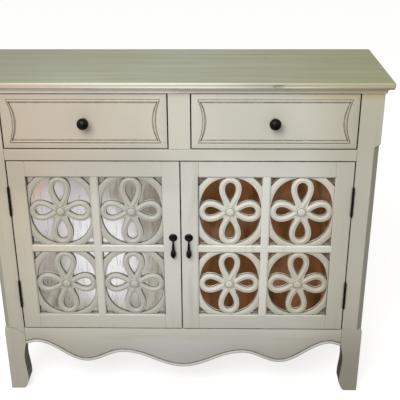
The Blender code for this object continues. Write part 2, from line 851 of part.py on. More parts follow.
def quarter_gap():
    """The opening between the right-hand and the upper petal, inside the ring."""
    ring = (pane_width / 2 - ring_side_margin, pane_height / 2 - ring_top_margin)
    tall, wide = petal_spans()
    upper = [(y, x) for x, y in petal_side(tall, (ring[1], ring[0]))]
    right = petal_side(wide, ring)
    points = [(pane_width * waist_across_share, pane_height * waist_up_share)] + upper
    start = math.atan2(upper[-1][1], upper[-1][0])
    end = math.atan2(right[-1][1], right[-1][0])
    for step in range(1, fret_ring_steps):
        points.append(ring_point(ring, start + (end - start) * step / fret_ring_steps))
    return points + list(reversed(right))


def corner_gap():
    """The small three-sided opening outside the ring, at a pane's corner."""
    corner = (pane_width / 2, pane_height / 2)
    start = (corner[0], corner[1] - pane_height * corner_up_share)
    end = (corner[0] - pane_width * corner_across_share, corner[1])
    points = [corner]
    for step in range(fret_corner_steps + 1):
        share = step / fret_corner_steps
        bulge = corner_bulge * math.sin(math.pi * share)
        points.append((start[0] + (end[0] - start[0]) * share + bulge,
                       start[1] + (end[1] - start[1]) * share + bulge))
    points[1] = start
    points[-1] = end
    return list(reversed(points))


def petal_hole(span):
    """A teardrop hole along +X: a point at the tip and a round far end."""
    step_turn = math.pi / (2 * fret_arc_steps)
    side = [petal_point(*span, step_turn * step, 0) for step in range(1, 2 * fret_arc_steps)]
    return [(span[0], 0)] + side + [(span[1], 0)] + [(x, -y) for x, y in reversed(side)]


def fret_holes():
    """All openings of one fretwork tile about its centre."""
    tall, wide = petal_spans()
    holes = []
    for flip_x, flip_y in ((1, 1), (-1, 1), (-1, -1), (1, -1)):
        for loop in (quarter_gap(), corner_gap()):
            holes.append([(flip_x * x, flip_y * y) for x, y in loop])
    for turn in (1, -1):
        holes.append([(turn * x, y) for x, y in petal_hole(wide)])
        holes.append([(y, turn * x) for x, y in petal_hole(tall)])
    return holes


def pocket_layer(name, side, word, near, thickness, finish):
    """A flat sheet that fills the door's pocket, less a seat gap all round."""
    low = (glass_near - pocket_lip + seat_gap, near, glass_bottom - pocket_lip + seat_gap)
    high = (glass_far + pocket_lip - seat_gap, near + thickness, glass_top + pocket_lip - seat_gap)
    return side_board(f"door_{word}_{name}", side, low, high, finish)


def make_fretwork(side, word):
    near_edge = glass_near - pocket_lip + seat_gap
    far_edge = glass_far + pocket_lip - seat_gap
    left, right = sorted((side * near_edge, side * far_edge))
    bottom = glass_bottom - pocket_lip + seat_gap
    top = glass_top + pocket_lip - seat_gap
    loops = [[(left, bottom), (right, bottom), (right, top), (left, top)]]
    for middle_x, middle_z in pane_middles():
        for hole in fret_holes():
            loops.append([(side * middle_x + x, middle_z + y) for x, y in hole])
    name = f"door_{word}_fretwork"
    mesh = plate_mesh(name, loops, fret_thickness)
    place = Matrix.Translation((0, front + fret_recess + fret_thickness / 2, 0)) @ upright
    return keep(name, mesh, "cream_paint", place)


def make_door(side, word):
    pieces = make_door_frame(side, word)
    pieces.append(make_muntins(side, word))
    pieces.append(make_fretwork(side, word))
    mirror_near = front + fret_recess + fret_thickness + seat_gap
    pieces.append(pocket_layer("mirror", side, word, mirror_near, mirror_thickness, "mirror_glass"))
    backing_near = mirror_near + mirror_thickness + seat_gap
    pieces.append(pocket_layer("backing", side, word, backing_near, backing_thickness, "plain_board"))
    pieces.append(make_rosette(side, word))
    for level, centre in hinge_heights.items():
        make_post_leaf(side, word, level, centre)
        pieces.append(make_door_leaf(side, word, level, centre))
    return pieces


def hinge_pin_mesh():
    """The pin with a small round tip above and below its knuckles."""
    end = hinge_length / 2 + seat_gap
    crown = [(0, end + hinge_finial_height)]
    for step in range(1, hinge_finial_steps + 1):
        angle = math.pi / 2 * (1 - step / hinge_finial_steps)
        crown.append((hinge_knuckle_radius * math.cos(angle), end + hinge_finial_height * math.sin(angle)))
    upper = crown + [(hinge_pin_radius, end)]
    profile = upper + [(radius, -height) for radius, height in reversed(upper)]
    return turned_mesh("pin", profile, hinge_sides)


def make_hinge_leaf(name, side, centre, leaf_near, leaf_far, taken):
    """A leaf in the door gap, joined by short necks to its own knuckles."""
    pitch = hinge_length / hinge_knuckles
    first, second = sorted((side * leaf_near, side * leaf_far))
    half = (hinge_length - seat_gap) / 2
    low = (first, front + seat_gap, centre - half)
    leaf = board(name, low, (second, front + hinge_leaf_depth, centre + half), "black_hinge")
    for index in taken:
        middle = centre + (index + 1 / 2) * pitch - hinge_length / 2
        knuckle = cylinder_mesh("knuckle", hinge_knuckle_radius, pitch - seat_gap, hinge_sides)
        place = Matrix.Translation((side * hinge_x, hinge_y, middle))
        fuse(leaf, cutter(f"{name}_knuckle_{index}", knuckle, place))
        reach = (pitch - seat_gap) / 2
        neck_low = (first, hinge_y, middle - reach)
        neck_high = (second, front + hinge_leaf_depth / 2, middle + reach)
        fuse(leaf, cutter(f"{name}_neck_{index}", box_mesh("neck", neck_low, neck_high)))
    return leaf


def make_post_leaf(side, word, level, centre):
    """The leaf on the post, with the outer knuckles and the fixed pin."""
    name = f"hinge_{word}_{level}_post_leaf"
    far = post_inner - seat_gap
    taken = range(0, hinge_knuckles, 2)
    leaf = make_hinge_leaf(name, side, centre, far - hinge_leaf_thickness, far, taken)
    place = Matrix.Translation((side * hinge_x, hinge_y, centre))
    fuse(leaf, cutter(f"{name}_pin", hinge_pin_mesh(), place))


def make_door_leaf(side, word, level, centre):
    """The leaf on the door's edge, whose knuckles are bored to turn on the pin."""
    name = f"hinge_{word}_{level}_door_leaf"
    near = door_far_edge + seat_gap
    taken = range(1, hinge_knuckles, 2)
    leaf = make_hinge_leaf(name, side, centre, near, near + hinge_leaf_thickness, taken)
    bore = cylinder_mesh("bore", hinge_bore_radius, hinge_length + cut_overrun, hinge_sides)
    cut(leaf, cutter(f"{name}_bore", bore, Matrix.Translation((side * hinge_x, hinge_y, centre))))
    return leaf


def make_rosette(side, word):
    """A round plate with two ears and the pin that carries the drop."""
    name = f"door_{word}_pull_rosette"
    rim = seat_gap + rosette_thickness * rosette_edge_share
    profile = [(0, rosette_thickness), (rosette_radius * rosette_face_share, rosette_thickness),
               (rosette_radius - rosette_rim, rim + rosette_rim), (rosette_radius, rim),
               (rosette_radius, seat_gap), (0, seat_gap)]
    place = Matrix.Translation((side * pull_x, front, pull_height)) @ upright
    plate = keep(name, turned_mesh(name, profile, rosette_sides), "dark_bronze", place)
    for end in (-1, 1):
        middle = side * pull_x + end * (ear_slot + ear_thickness) / 2
        ear = cylinder_mesh("ear", ear_radius, ear_thickness, hinge_sides)
        place = Matrix.Translation((middle, pull_y, pull_height)) @ across
        fuse(plate, cutter(f"{name}_ear_{end}", ear, place))
        reach = ear_radius * ear_web_share
        low = (middle - ear_thickness / 2, pull_y, pull_height - reach)
        high = (middle + ear_thickness / 2, front - rosette_thickness / 2, pull_height + reach)
        fuse(plate, cutter(f"{name}_web_{end}", box_mesh("web", low, high)))
    rod = cylinder_mesh("rod", pull_pin_radius, ear_slot + ear_thickness, hinge_sides)
    place = Matrix.Translation((side * pull_x, pull_y, pull_height)) @ across
    fuse(plate, cutter(f"{name}_rod", rod, place))
    return plate


def drop_profile():
    """Radius and height of the hanging drop about its pivot, top first."""
    neck_top = -(pull_eye_bore + pull_eye_radius) / 2
    shaft_top = -pull_neck_drop - (pull_shaft_radius - pull_neck_radius)
    bulb_top = -(pull_bulb_drop - pull_bulb_radius)
    shoulder = pull_bulb_radius * pull_shoulder_share
    points = [(0, neck_top), (pull_neck_radius, neck_top), (pull_neck_radius, -pull_neck_drop)]
    for step in range(pull_steps + 1):
        share = step / pull_steps
        swell = share ** pull_swell_power
        points.append((pull_shaft_radius + (shoulder - pull_shaft_radius) * swell,
                       shaft_top + (bulb_top - shaft_top) * share))
    for step in range(1, pull_steps):
        angle = pull_shoulder_angle * (1 - step / (pull_steps - 1))
        points.append((pull_bulb_radius * math.cos(angle),
                       pull_bulb_radius * math.sin(angle) - pull_bulb_drop))
    for step in range(1, pull_steps):
        share = step / (pull_steps - 1)
        radius = pull_bulb_radius * math.cos(math.pi / 2 * share) ** pull_tip_power
        points.append((radius, -pull_bulb_drop - (pull_tip_drop - pull_bulb_drop) * share))
    points[-1] = (0, -pull_tip_drop)
    return points


def make_drop(side, word):
    name = f"pull_{word}_drop"
    place = Matrix.Translation((side * pull_x, pull_y, pull_height))
    drop = keep(name, turned_mesh(name, drop_profile(), pull_sides), "dark_bronze", place)
    eye = cylinder_mesh("eye", pull_eye_radius, pull_eye_thickness, hinge_sides)
    fuse(drop, cutter(f"{name}_eye", eye, place @ across))
    bore = cylinder_mesh("bore", pull_eye_bore, pull_eye_thickness + 2 * cut_overrun, hinge_sides)
    cut(drop, cutter(f"{name}_bore", bore, place @ across))
    return drop


def make_axis(name, place, parent=None):
    """An empty on a joint's axis, which carries the pieces that move with it."""
    axis = bpy.data.objects.new(name, None)
    axis.matrix_world = Matrix.Translation(place)
    sideboard.objects.link(axis)
    bpy.context.view_layer.update()
    if parent:
        hang(axis, parent)
    return axis


def hang(piece, axis):
    piece.parent = axis
    piece.matrix_parent_inverse = axis.matrix_world.inverted()


def main():
    make_top()
    make_cornices()
    make_posts()
    make_front_rails()
    make_apron()
    make_side_panels()
    make_inner_boards()
    make_back_panel()
    make_partition()
    make_catch()
    for side, word in ((-1, "left"), (1, "right")):
        left, right = drawer_span(side)
        middle = (left + right) / 2
        slide = make_axis(f"drawer_{word}_slide", (middle, front, drawer_opening_bottom))
        for piece in make_drawer(side, word):
            hang(piece, slide)
        hinge = make_axis(f"door_{word}_hinge", (side * hinge_x, hinge_y, door_opening_bottom))
        for piece in make_door(side, word):
            hang(piece, hinge)
        pivot = make_axis(f"pull_{word}_pivot", (side * pull_x, pull_y, pull_height), hinge)
        hang(make_drop(side, word), pivot)
    bpy.context.view_layer.update()


main()
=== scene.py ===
"""Looks of the painted sideboard: its detailed pieces, finishes, floor, light and camera.

Metres, +Z up, the front faces -Y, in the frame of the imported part.
"""

import json
import math

import bmesh
import bpy
from mathutils import Matrix, Vector

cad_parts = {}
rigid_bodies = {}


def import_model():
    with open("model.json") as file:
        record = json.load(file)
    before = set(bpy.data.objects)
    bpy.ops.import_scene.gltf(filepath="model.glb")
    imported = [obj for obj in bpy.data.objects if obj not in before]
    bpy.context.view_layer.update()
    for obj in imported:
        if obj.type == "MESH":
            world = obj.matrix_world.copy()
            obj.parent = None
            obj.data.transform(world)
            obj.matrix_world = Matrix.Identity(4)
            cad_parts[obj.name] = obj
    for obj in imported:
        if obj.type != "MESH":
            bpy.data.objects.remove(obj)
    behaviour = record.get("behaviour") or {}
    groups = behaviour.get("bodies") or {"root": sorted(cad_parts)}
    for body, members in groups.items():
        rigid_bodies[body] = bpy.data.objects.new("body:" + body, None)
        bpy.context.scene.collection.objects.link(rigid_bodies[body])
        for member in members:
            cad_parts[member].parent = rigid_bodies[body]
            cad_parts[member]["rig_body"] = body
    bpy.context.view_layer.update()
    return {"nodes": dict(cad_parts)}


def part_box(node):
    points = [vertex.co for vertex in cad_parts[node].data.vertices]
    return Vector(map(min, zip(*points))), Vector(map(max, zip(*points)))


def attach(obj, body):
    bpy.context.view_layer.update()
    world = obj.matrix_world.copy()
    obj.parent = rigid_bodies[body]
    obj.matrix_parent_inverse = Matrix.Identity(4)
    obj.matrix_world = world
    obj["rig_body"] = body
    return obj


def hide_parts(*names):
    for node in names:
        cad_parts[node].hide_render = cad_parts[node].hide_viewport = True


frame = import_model()
nodes = frame["nodes"]
scene = bpy.context.scene
scene.view_settings.view_transform = "Standard"

weld = 0.000002
flat_angle = math.radians(0.6)
edge_angle = math.radians(28)
smooth_angle = math.radians(36)

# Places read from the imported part
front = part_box("mid_rail")[0].y
half_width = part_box("cornice_right")[0].x
case_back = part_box("post_rear_right")[1].y
glass_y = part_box("door_right_mirror")[0].y
board_thick = 0.02

# Turns an outline drawn in X and Y upright, and points a turned piece's top at the viewer
upright = Matrix.Rotation(math.pi / 2, 4, "X")
# Lays a turned piece's axis across the sideboard
crosswise = Matrix.Rotation(math.pi / 2, 4, "Y")
sides = ((-1, "left"), (1, "right"))


# Node trees

def give(tree, socket, value):
    """Links a socket to another one, or sets it to a plain value or a colour."""
    if isinstance(value, bpy.types.NodeSocket):
        tree.links.new(value, socket)
    elif socket.type == "RGBA":
        socket.default_value = (*value, 1)
    else:
        socket.default_value = value


def node(tree, kind, inputs=None, **settings):
    """Adds a node, sets its properties, and links or sets its inputs; a shader node's kind is its name alone."""
    made = tree.nodes.new(kind if "Node" in kind else "ShaderNode" + kind)
    for name, value in settings.items():
        setattr(made, name, value)
    for name, value in (inputs or {}).items():
        give(tree, made.inputs[name], value)
    return made


def maths(tree, operation, first, second=0.0, clamp=False):
    made = node(tree, "Math", {0: first, 1: second}, operation=operation, use_clamp=clamp)
    return made.outputs[0]


def times(tree, first, *others):
    for other in others:
        first = maths(tree, "MULTIPLY", first, other)
    return first


def ranged(tree, value, low, high, *ends):
    """Stretches low..high softly to two ends: the two given, 0 and the one given, or 0 and 1."""
    first, last = ends if len(ends) == 2 else (0, ends[0] if ends else 1)
    inputs = {"Value": value, "From Min": low, "From Max": high, "To Min": first, "To Max": last}
    return node(tree, "MapRange", inputs, interpolation_type="SMOOTHSTEP").outputs[0]


def mixed(tree, share, first, second):
    """A mix of two colours. Factor, A and B of a colour mix are inputs 0, 6 and 7."""
    return node(tree, "Mix", {0: share, 6: first, 7: second}, data_type="RGBA").outputs[2]


def object_point(tree):
    return node(tree, "TexCoord").outputs["Object"]


def object_place(tree, stretch=(1, 1, 1), shift=(0, 0, 0), place=None):
    """Object coordinates, or another place, stretched along each axis."""
    place = place or object_point(tree)
    return node(tree, "Mapping", {"Vector": place, "Scale": stretch, "Location": shift}).outputs[0]


def axis_value(tree, axis):
    return node(tree, "SeparateXYZ", {0: object_point(tree)}).outputs[axis]


def faded(tree, *fades):
    """The product of soft fades, each an axis with the arguments of ranged."""
    return times(tree, *[ranged(tree, axis_value(tree, axis), *ends) for axis, *ends in fades])


def facing(tree, kind, axis):
    """How far the surface faces along an axis."""
    normal = node(tree, "NewGeometry").outputs[kind]
    return node(tree, "SeparateXYZ", {0: normal}).outputs[axis]


def noise(tree, scale, detail=2, stretch=(1, 1, 1), place=None, roughness=0.5, distortion=0.0):
    if place is None:
        place = object_place(tree, stretch)
    inputs = {"Vector": place, "Scale": scale, "Detail": detail, "Roughness": roughness,
              "Distortion": distortion}
    return node(tree, "TexNoise", inputs).outputs[0]


def off_centre(tree, centre, radii, place=None):
    """The distance from a centre, counted in radii; an axis with radius 0 doesn't count."""
    stretch = [1 / radius if radius else 0 for radius in radii]
    shift = [-part * middle for part, middle in zip(stretch, centre)]
    moved = object_place(tree, stretch, shift, place)
    return node(tree, "VectorMath", {0: moved}, operation="LENGTH").outputs["Value"]


def openness(tree, reach, inside=False):
    """How open a place is within a short reach, or how solid inside: 1 on a plain face, less at corners."""
    settings = {"samples": 8, "inside": inside}
    return node(tree, "AmbientOcclusion", {"Distance": reach}, **settings).outputs["AO"]


def effect(name, **inputs):
    """Makes a shader node group of what a function gives; an input is a vector or a number."""
    def made(build):
        tree = bpy.data.node_groups.new(name, "ShaderNodeTree")
        for label, value in inputs.items():
            kind = "Vector" if isinstance(value, tuple) else "Float"
            socket = tree.interface.new_socket(label, in_out="INPUT", socket_type="NodeSocket" + kind)
            socket.default_value = value
        results = build(tree, tree.nodes.new("NodeGroupInput").outputs)
        for label in results:
            tree.interface.new_socket(label, in_out="OUTPUT", socket_type="NodeSocketFloat")
        ends = tree.nodes.new("NodeGroupOutput").inputs
        for label, value in results.items():
            give(tree, ends[label], value)
        return tree
    return made


def use(tree, group, **inputs):
    """Places an effect in a material with its own values; gives its outputs."""
    return node(tree, "Group", inputs, node_tree=group).outputs


@effect("brush_strokes", Stretch=(1, 1, 1), Scale=60, Contrast=1)
def brush_strokes(tree, given):
    """Long soft streaks left by the brush, with a finer height for the bump."""
    place = object_point(tree)
    drawn = node(tree, "VectorMath", {0: place, 1: given["Stretch"]}, operation="MULTIPLY").outputs[0]
    broad = noise(tree, given["Scale"], 4, place=drawn, roughness=0.55, distortion=0.4)
    fine = noise(tree, times(tree, given["Scale"], 6), 5, place=drawn, roughness=0.6)
    tone = times(tree, maths(tree, "SUBTRACT", broad, 0.5), given["Contrast"])
    return {"Tone": maths(tree, "ADD", tone, 0.5, clamp=True),
            "Height": maths(tree, "ADD", times(tree, broad, 0.6), times(tree, fine, 0.4))}


@effect("corner_darkening", Openness=1, Amount=1, Breakup=90)
def corner_darkening(tree, given):
    """Darkens corners and grooves, broken up a little: glaze left there on the paint, and painted shade."""
    patchy = ranged(tree, noise(tree, given["Breakup"], 3), 0.3, 0.7, 0.55, 1.0)
    kept = times(tree, ranged(tree, given["Openness"], 0.97, 0.45), patchy)
    return {"Mask": maths(tree, "MULTIPLY", kept, given["Amount"], clamp=True)}


@effect("rubbed_edges", Solidness=1, Amount=1, Scale=25)
def rubbed_edges(tree, given):
    """Raised edges where the finish has been rubbed thin, in short irregular lengths."""
    lengths = ranged(tree, noise(tree, given["Scale"], 4, roughness=0.65), 0.5, 0.66)
    rubbed = times(tree, ranged(tree, given["Solidness"], 0.92, 0.62), lengths)
    return {"Mask": maths(tree, "MULTIPLY", rubbed, given["Amount"], clamp=True)}


@effect("soft_patches", Scale=3, Low=0.35, High=0.65)
def soft_patches(tree, given):
    """Broad, slow changes of tone."""
    return {"Mask": ranged(tree, noise(tree, given["Scale"]), given["Low"], given["High"])}


@effect("specks", Scale=60, Size=0.08, Share=0.06)
def specks(tree, given):
    """A few small round specks, as a share of the cells that could hold one."""
    cells = node(tree, "TexVoronoi", {"Vector": object_place(tree), "Scale": given["Scale"]}).outputs
    red = node(tree, "SeparateColor", {0: cells["Color"]}).outputs[0]
    return {"Mask": times(tree, maths(tree, "LESS_THAN", cells["Distance"], given["Size"]),
                          maths(tree, "LESS_THAN", red, given["Share"]))}


# Finishes

cream_light = (0.6, 0.575, 0.485)
cream_grey = (0.545, 0.537, 0.462)
# a warm tint, partly painted warm light
cream_warm_light = (0.58, 0.455, 0.34)
cream_cool = (0.64, 0.64, 0.6)
# painted shade
cream_shade = (0.4, 0.362, 0.258)
# painted shade low down
cream_low_shade = (0.37, 0.352, 0.298)
# painted light
cream_painted_light = (0.95, 0.91, 0.82)
# brown glaze for specks and cracks, also painted shade in corners and seams
glaze_and_shade_brown = (0.085, 0.058, 0.034)
glaze_thin = (0.4, 0.35, 0.265)
glaze_rubbed = (0.3, 0.245, 0.17)
# painted shade deep in gaps
gap_shade = (0.018, 0.014, 0.01)

# The directions of brush and grain: the paint is drawn out along one axis
along_x, along_y, along_z = (0.07, 1, 1), (1, 0.07, 1), (1, 1, 0.07)

# How the cream changes over the front, much of it painted light and shade: a tint, and the fades along axes that
# bring it in
cream_light_and_shade_tints = (
    # partly painted warm light up to the left
    (cream_warm_light, ("X", 0.02, -0.45), ("Z", 0.2, 0.8, 0.175, 0.7)),
    (cream_cool, ("Z", 0.76, 0.66, 0.7), ("X", -0.42, -0.08, 0.1, 1.0)),
    # painted shade at the left end
    (cream_shade, ("X", -0.3, -0.48, 0.35)),
    # painted shade over the upper left half
    ((0.33, 0.27, 0.2), ("X", 0.0, -0.12, 0.16), ("Z", 0.5, 0.7)),
    # painted shade towards the right end
    (cream_shade, ("X", 0.3, 0.42, 0.52)),
    # painted shade towards the bottom
    (cream_low_shade, ("Z", 0.38, 0.04, 0.9), ("X", -0.46, -0.4, 0.7, 1.0)),
    # painted shade on the left half of the rail under the drawers
    ((0.33, 0.31, 0.25), ("Z", 0.745, 0.715, 0.24), ("Z", 0.6, 0.64), ("X", 0.1, -0.1)),
    # painted shade on the right foot
    ((0.26, 0.235, 0.165), ("X", 0.4, 0.46), ("Z", 0.28, 0.06, 0.6)),
    # apron's middle
    ((0.55, 0.553, 0.55), ("X", -0.32, -0.08, 0.4), ("X", 0.32, 0.08), ("Z", 0.185, 0.16)),
    # painted shade, yellower, at the right end of the cove
    ((0.52, 0.44, 0.2), ("X", 0.2, 0.4), ("Z", 0.862, 0.872, 0.4)),
)


def painted(tree, colour, *layers):
    """A colour with others laid over it, each with its share."""
    for share, layer in layers:
        colour = mixed(tree, share, colour, layer)
    return colour


def tinted(tree, colour, *tints):
    """A colour with tints laid over it, each with the fades along axes that bring it in."""
    return painted(tree, colour, *[(faded(tree, *fades), tint) for tint, *fades in tints])


def complete(tree, colour, roughness, height, strength, distance, metallic=0.0):
    """Gives a finish its colour, roughness and grain."""
    bump = node(tree, "Bump", {"Height": height, "Strength": strength, "Distance": distance})
    looks = {"Base Color": colour, "Roughness": roughness, "Metallic": metallic, "Normal": bump.outputs[0]}
    for label, value in looks.items():
        give(tree, tree.nodes["Principled BSDF"].inputs[label], value)


def complete_cream(tree, colour, strokes):
    roughness = ranged(tree, strokes["Tone"], 0.2, 0.8, 0.42, 0.58)
    complete(tree, colour, roughness, strokes["Height"], 0.22, 0.0006)


def cream_colour(tree, stretch, glaze_and_shade_amount=0.8, reach=0.005, rubbed_amount=0.5, painted_light=(0.0, 0.0)):
    """The antiqued cream paint's colour, with painted light and shade in it, and the brush tone and height it is
    drawn with.
    """
    strokes = use(tree, brush_strokes, Stretch=stretch, Scale=38, Contrast=1.3)
    patches = use(tree, soft_patches, Scale=3.4, Low=0.38, High=0.64)
    dots = use(tree, specks, Scale=42, Size=0.055, Share=0.035)
    rubbed = use(tree, rubbed_edges, Solidness=openness(tree, 0.0022, True), Amount=rubbed_amount, Scale=24)
    opened = openness(tree, reach)
    corner_dark = use(tree, corner_darkening, Openness=opened, Amount=glaze_and_shade_amount)
    colour = mixed(tree, patches["Mask"], cream_light, cream_grey)
    # painted light and shade over the front, then painted light on one side of a piece
    colour = tinted(tree, colour, *cream_light_and_shade_tints, (cream_painted_light, ("X", -0.04, 0.02, *painted_light)))
    # over the brush streaks, specks and rubbed edges: glaze and painted shade in corners, then painted shade deep
    # in gaps
    return painted(tree, colour, (ranged(tree, strokes["Tone"], 0.56, 0.86, 0.42), glaze_thin),
                   (times(tree, dots["Mask"], 0.6), glaze_and_shade_brown), (rubbed["Mask"], glaze_rubbed),
                   (corner_dark["Mask"], glaze_and_shade_brown), (ranged(tree, opened, 0.55, 0.25), gap_shade)), strokes


def paint_cream(tree, *paint):
    """Antiqued cream paint; paint holds what cream_colour takes."""
    complete_cream(tree, *cream_colour(tree, *paint))


def paint_apron(tree):
    """Cream paint, painted paler on the bead that stands proud of the front: a painted highlight."""
    colour, strokes = cream_colour(tree, along_x, 1.0, 0.004, 0.15)
    # painted highlight on the proud bead
    proud = ("Y", front - 0.0002, front - 0.0009, 0.6)
    complete_cream(tree, tinted(tree, colour, ((0.6, 0.61, 0.58), proud)), strokes)


def paint_fretwork(tree):
    """The fretwork's cream paint, with glaze and painted shade in its corners, deeper painted shade in its
    pockets and where it meets the mirror, and painted light on the right door.
    """
    colour, strokes = cream_colour(tree, (1, 1, 1), 0.95, 0.0026, 0.12, (0.0, 0.14))
    # painted shade: greyer and darker on the left door, browner low on the right door; a warmer tint on the right
    # door
    colour = tinted(tree, colour, ((0.36, 0.35, 0.305), ("X", 0.02, -0.04, 0.5)),
                    ((0.6, 0.54, 0.38), ("X", -0.02, 0.06, 0.14)),
                    ((0.36, 0.3, 0.17), ("X", 0.06, 0.32), ("Z", 0.62, 0.42, 0.38)))
    # painted shade in narrow pockets, such as the corner gaps
    pocket_shade = ranged(tree, openness(tree, 0.014), 0.46, 0.26, 0.8)
    # painted shade along the seam where the fretwork meets the mirror
    seam_shade = faded(tree, ("Y", glass_y - 0.003, glass_y - 0.0016, 0.9))
    colour = painted(tree, colour, (pocket_shade, (0.15, 0.155, 0.12)), (seam_shade, glaze_and_shade_brown))
    complete_cream(tree, colour, strokes)


def paint_legs(tree):
    """Cream paint with the hairline crack across the left front leg; painted shade greys the chamfers and darkens
    the inner faces of the feet.
    """
    colour, strokes = cream_colour(tree, along_z)
    x, z = axis_value(tree, "X"), axis_value(tree, "Z")
    fall = ranged(tree, x, -0.47, -0.441, 0.017)
    line = maths(tree, "ADD", maths(tree, "SUBTRACT", z, 0.2072), fall)
    crack = times(tree, ranged(tree, maths(tree, "ABSOLUTE", line), 0.0011, 0.0003),
                  maths(tree, "LESS_THAN", x, -0.4425),
                  maths(tree, "LESS_THAN", axis_value(tree, "Y"), front + 0.002), 0.75)
    outward = times(tree, facing(tree, "True Normal", "X"), maths(tree, "SIGN", x))
    # painted shade on the chamfers, which face away from the light
    chamfer_shade = times(tree, ranged(tree, outward, 0.35, 0.5, 0.5), ranged(tree, outward, 0.93, 0.85))
    # painted shade on the inner faces of the feet, below the apron
    inner = times(tree, ranged(tree, outward, -0.3, -0.6, 0.85), ranged(tree, z, 0.2, 0.185))
    colour = painted(tree, colour, (crack, glaze_and_shade_brown), (chamfer_shade, (0.24, 0.25, 0.2)),
                     (inner, (0.07, 0.055, 0.035)))
    complete_cream(tree, colour, strokes)


def paint_top(tree):
    """Greenish grey on the top's flat, rubbed to cream round its edge."""
    edge_cream, strokes = cream_colour(tree, along_x, 0.7)
    # painted light on the edge's cream towards the left and middle, and painted shade towards its right
    edge_cream = tinted(tree, edge_cream,
                        ((0.85, 0.82, 0.7), ("X", 0.2, 0.05, 0.42), ("X", -0.45, -0.05, 1.15)),
                        (cream_shade, ("X", 0.1, 0.45, 0.8)))
    patches = use(tree, soft_patches, Scale=4.2, Low=0.36, High=0.66)
    dots = use(tree, specks, Scale=30, Size=0.05, Share=0.05)
    cup_ring = off_centre(tree, (0.056, 0.0945, 0), (0.034, 0.021, 0))
    off_ring = maths(tree, "ABSOLUTE", maths(tree, "SUBTRACT", cup_ring, 1))
    knot = off_centre(tree, (0.2233, 0.075, 0), (1, 1, 0))
    # sage, then a bluer sage, then painted shade: a darker, more olive sage towards the right and a darker sage
    # towards the left
    colour = mixed(tree, patches["Mask"], (0.338, 0.344, 0.219), (0.358, 0.384, 0.272))
    colour = tinted(tree, colour, ((0.294, 0.291, 0.138), ("X", 0.05, 0.46, 0.95)),
                    ((0.275, 0.275, 0.175), ("X", -0.2, -0.46, 0.8)))
    colour = painted(tree, colour, (ranged(tree, strokes["Tone"], 0.3, 0.85, 0.34), (0.235, 0.25, 0.18)),
                     (ranged(tree, strokes["Tone"], 0.42, 0.2, 0.25), (0.42, 0.43, 0.34)),
                     (times(tree, dots["Mask"], 0.7), (0.1, 0.1, 0.07)),
                     (ranged(tree, off_ring, 0.09, 0.03, 0.35), (0.2, 0.22, 0.15)),
                     (ranged(tree, knot, 0.0045, 0.0015, 0.8), (0.05, 0.05, 0.035)))
    chip = off_centre(tree, (0.2385, 0, 0.9055), (0.016, 0, 0.005))
    level = ranged(tree, facing(tree, "Normal", "Z"), 0.72, 0.93)
    flat = maths(tree, "MAXIMUM", level, ranged(tree, chip, 1.0, 0.8, 0.8))
    roughness = ranged(tree, strokes["Tone"], 0.2, 0.8, 0.3, 0.44)
    complete(tree, mixed(tree, flat, edge_cream, colour), roughness, strokes["Height"], 0.16, 0.0006)


def leave_plain(tree, light, dark, stretch):
    """Unpainted board: long grain with darker lines, and painted shade in its corners."""
    strokes = use(tree, brush_strokes, Stretch=stretch, Scale=22, Contrast=1.8)
    waves = noise(tree, 9, 6, stretch, distortion=2.2)
    # painted shade in the corners
    corner_dark = use(tree, corner_darkening, Openness=openness(tree, 0.008), Amount=0.5)
    colour = painted(tree, mixed(tree, ranged(tree, waves, 0.38, 0.62), light, dark),
                     (ranged(tree, strokes["Tone"], 0.55, 0.8, 0.45), dark),
                     (corner_dark["Mask"], (0.06, 0.045, 0.03)))
    roughness = ranged(tree, strokes["Tone"], 0.2, 0.8, 0.55, 0.75)
    complete(tree, colour, roughness, strokes["Height"], 0.3, 0.0005)


def silver(tree):
    """Silvered glass with a slow waver, fine scores, a little clouding and dust, and painted shade in the corners
    of its openings and along its seams.
    """
    cloud = use(tree, soft_patches, Scale=14, Low=0.45, High=0.75)
    scored = ranged(tree, noise(tree, 150, 3, (1, 1, 0.1), distortion=1.6), 0.56, 0.64, 0.36)
    # painted shade in the corners of the openings, where the glass shows less reflection
    corner_shade = ranged(tree, openness(tree, 0.014), 0.62, 0.4, 0.75)
    # painted shade along the seams
    seam_shade = ranged(tree, openness(tree, 0.0022), 0.9, 0.6, 0.9)
    clear_glass = mixed(tree, times(tree, cloud["Mask"], 0.5), (0.86, 0.86, 0.85), (0.72, 0.71, 0.68))
    colour = painted(tree, clear_glass,
                     (times(tree, scored, faded(tree, ("X", 0.01, -0.01, 0.2, 1.0))), (0.3, 0.28, 0.26)),
                     (corner_shade, (0.13, 0.14, 0.11)), (seam_shade, (0.035, 0.028, 0.02)))
    metallic = ranged(tree, maths(tree, "MAXIMUM", corner_shade, seam_shade), 0, 1, 1.0, 0.15)
    dust = use(tree, brush_strokes, Stretch=(1, 1, 0.12), Scale=30, Contrast=1.5)
    roughness = ranged(tree, dust["Tone"], 0.3, 0.8, 0.03, 0.12)
    complete(tree, colour, roughness, noise(tree, 26, 2, (1, 1, 0.35)), 0.14, 0.002, metallic)


def blacken(tree, dark, rubbed_tone, roughness, metallic):
    """Blackened metal: uneven dark skin, warmer bare metal on its high edges."""
    patches = use(tree, soft_patches, Scale=140, Low=0.3, High=0.75)
    rubbed = use(tree, rubbed_edges, Solidness=openness(tree, 0.001, True), Amount=0.6, Scale=160)
    colour = mixed(tree, patches["Mask"], dark, [part * 0.55 for part in dark])
    colour = mixed(tree, rubbed["Mask"], colour, rubbed_tone)
    uneven = ranged(tree, patches["Mask"], 0, 1, roughness, roughness + 0.14)
    complete(tree, colour, uneven, noise(tree, 700), 0.1, 0.0003, metallic)


def mould(tree):
    """Moulded brown plastic with a fine pebbled skin."""
    patches = use(tree, soft_patches, Scale=60, Low=0.3, High=0.7)
    colour = mixed(tree, patches["Mask"], (0.16, 0.1, 0.06), (0.12, 0.075, 0.045))
    complete(tree, colour, 0.45, noise(tree, 900), 0.12, 0.0002)


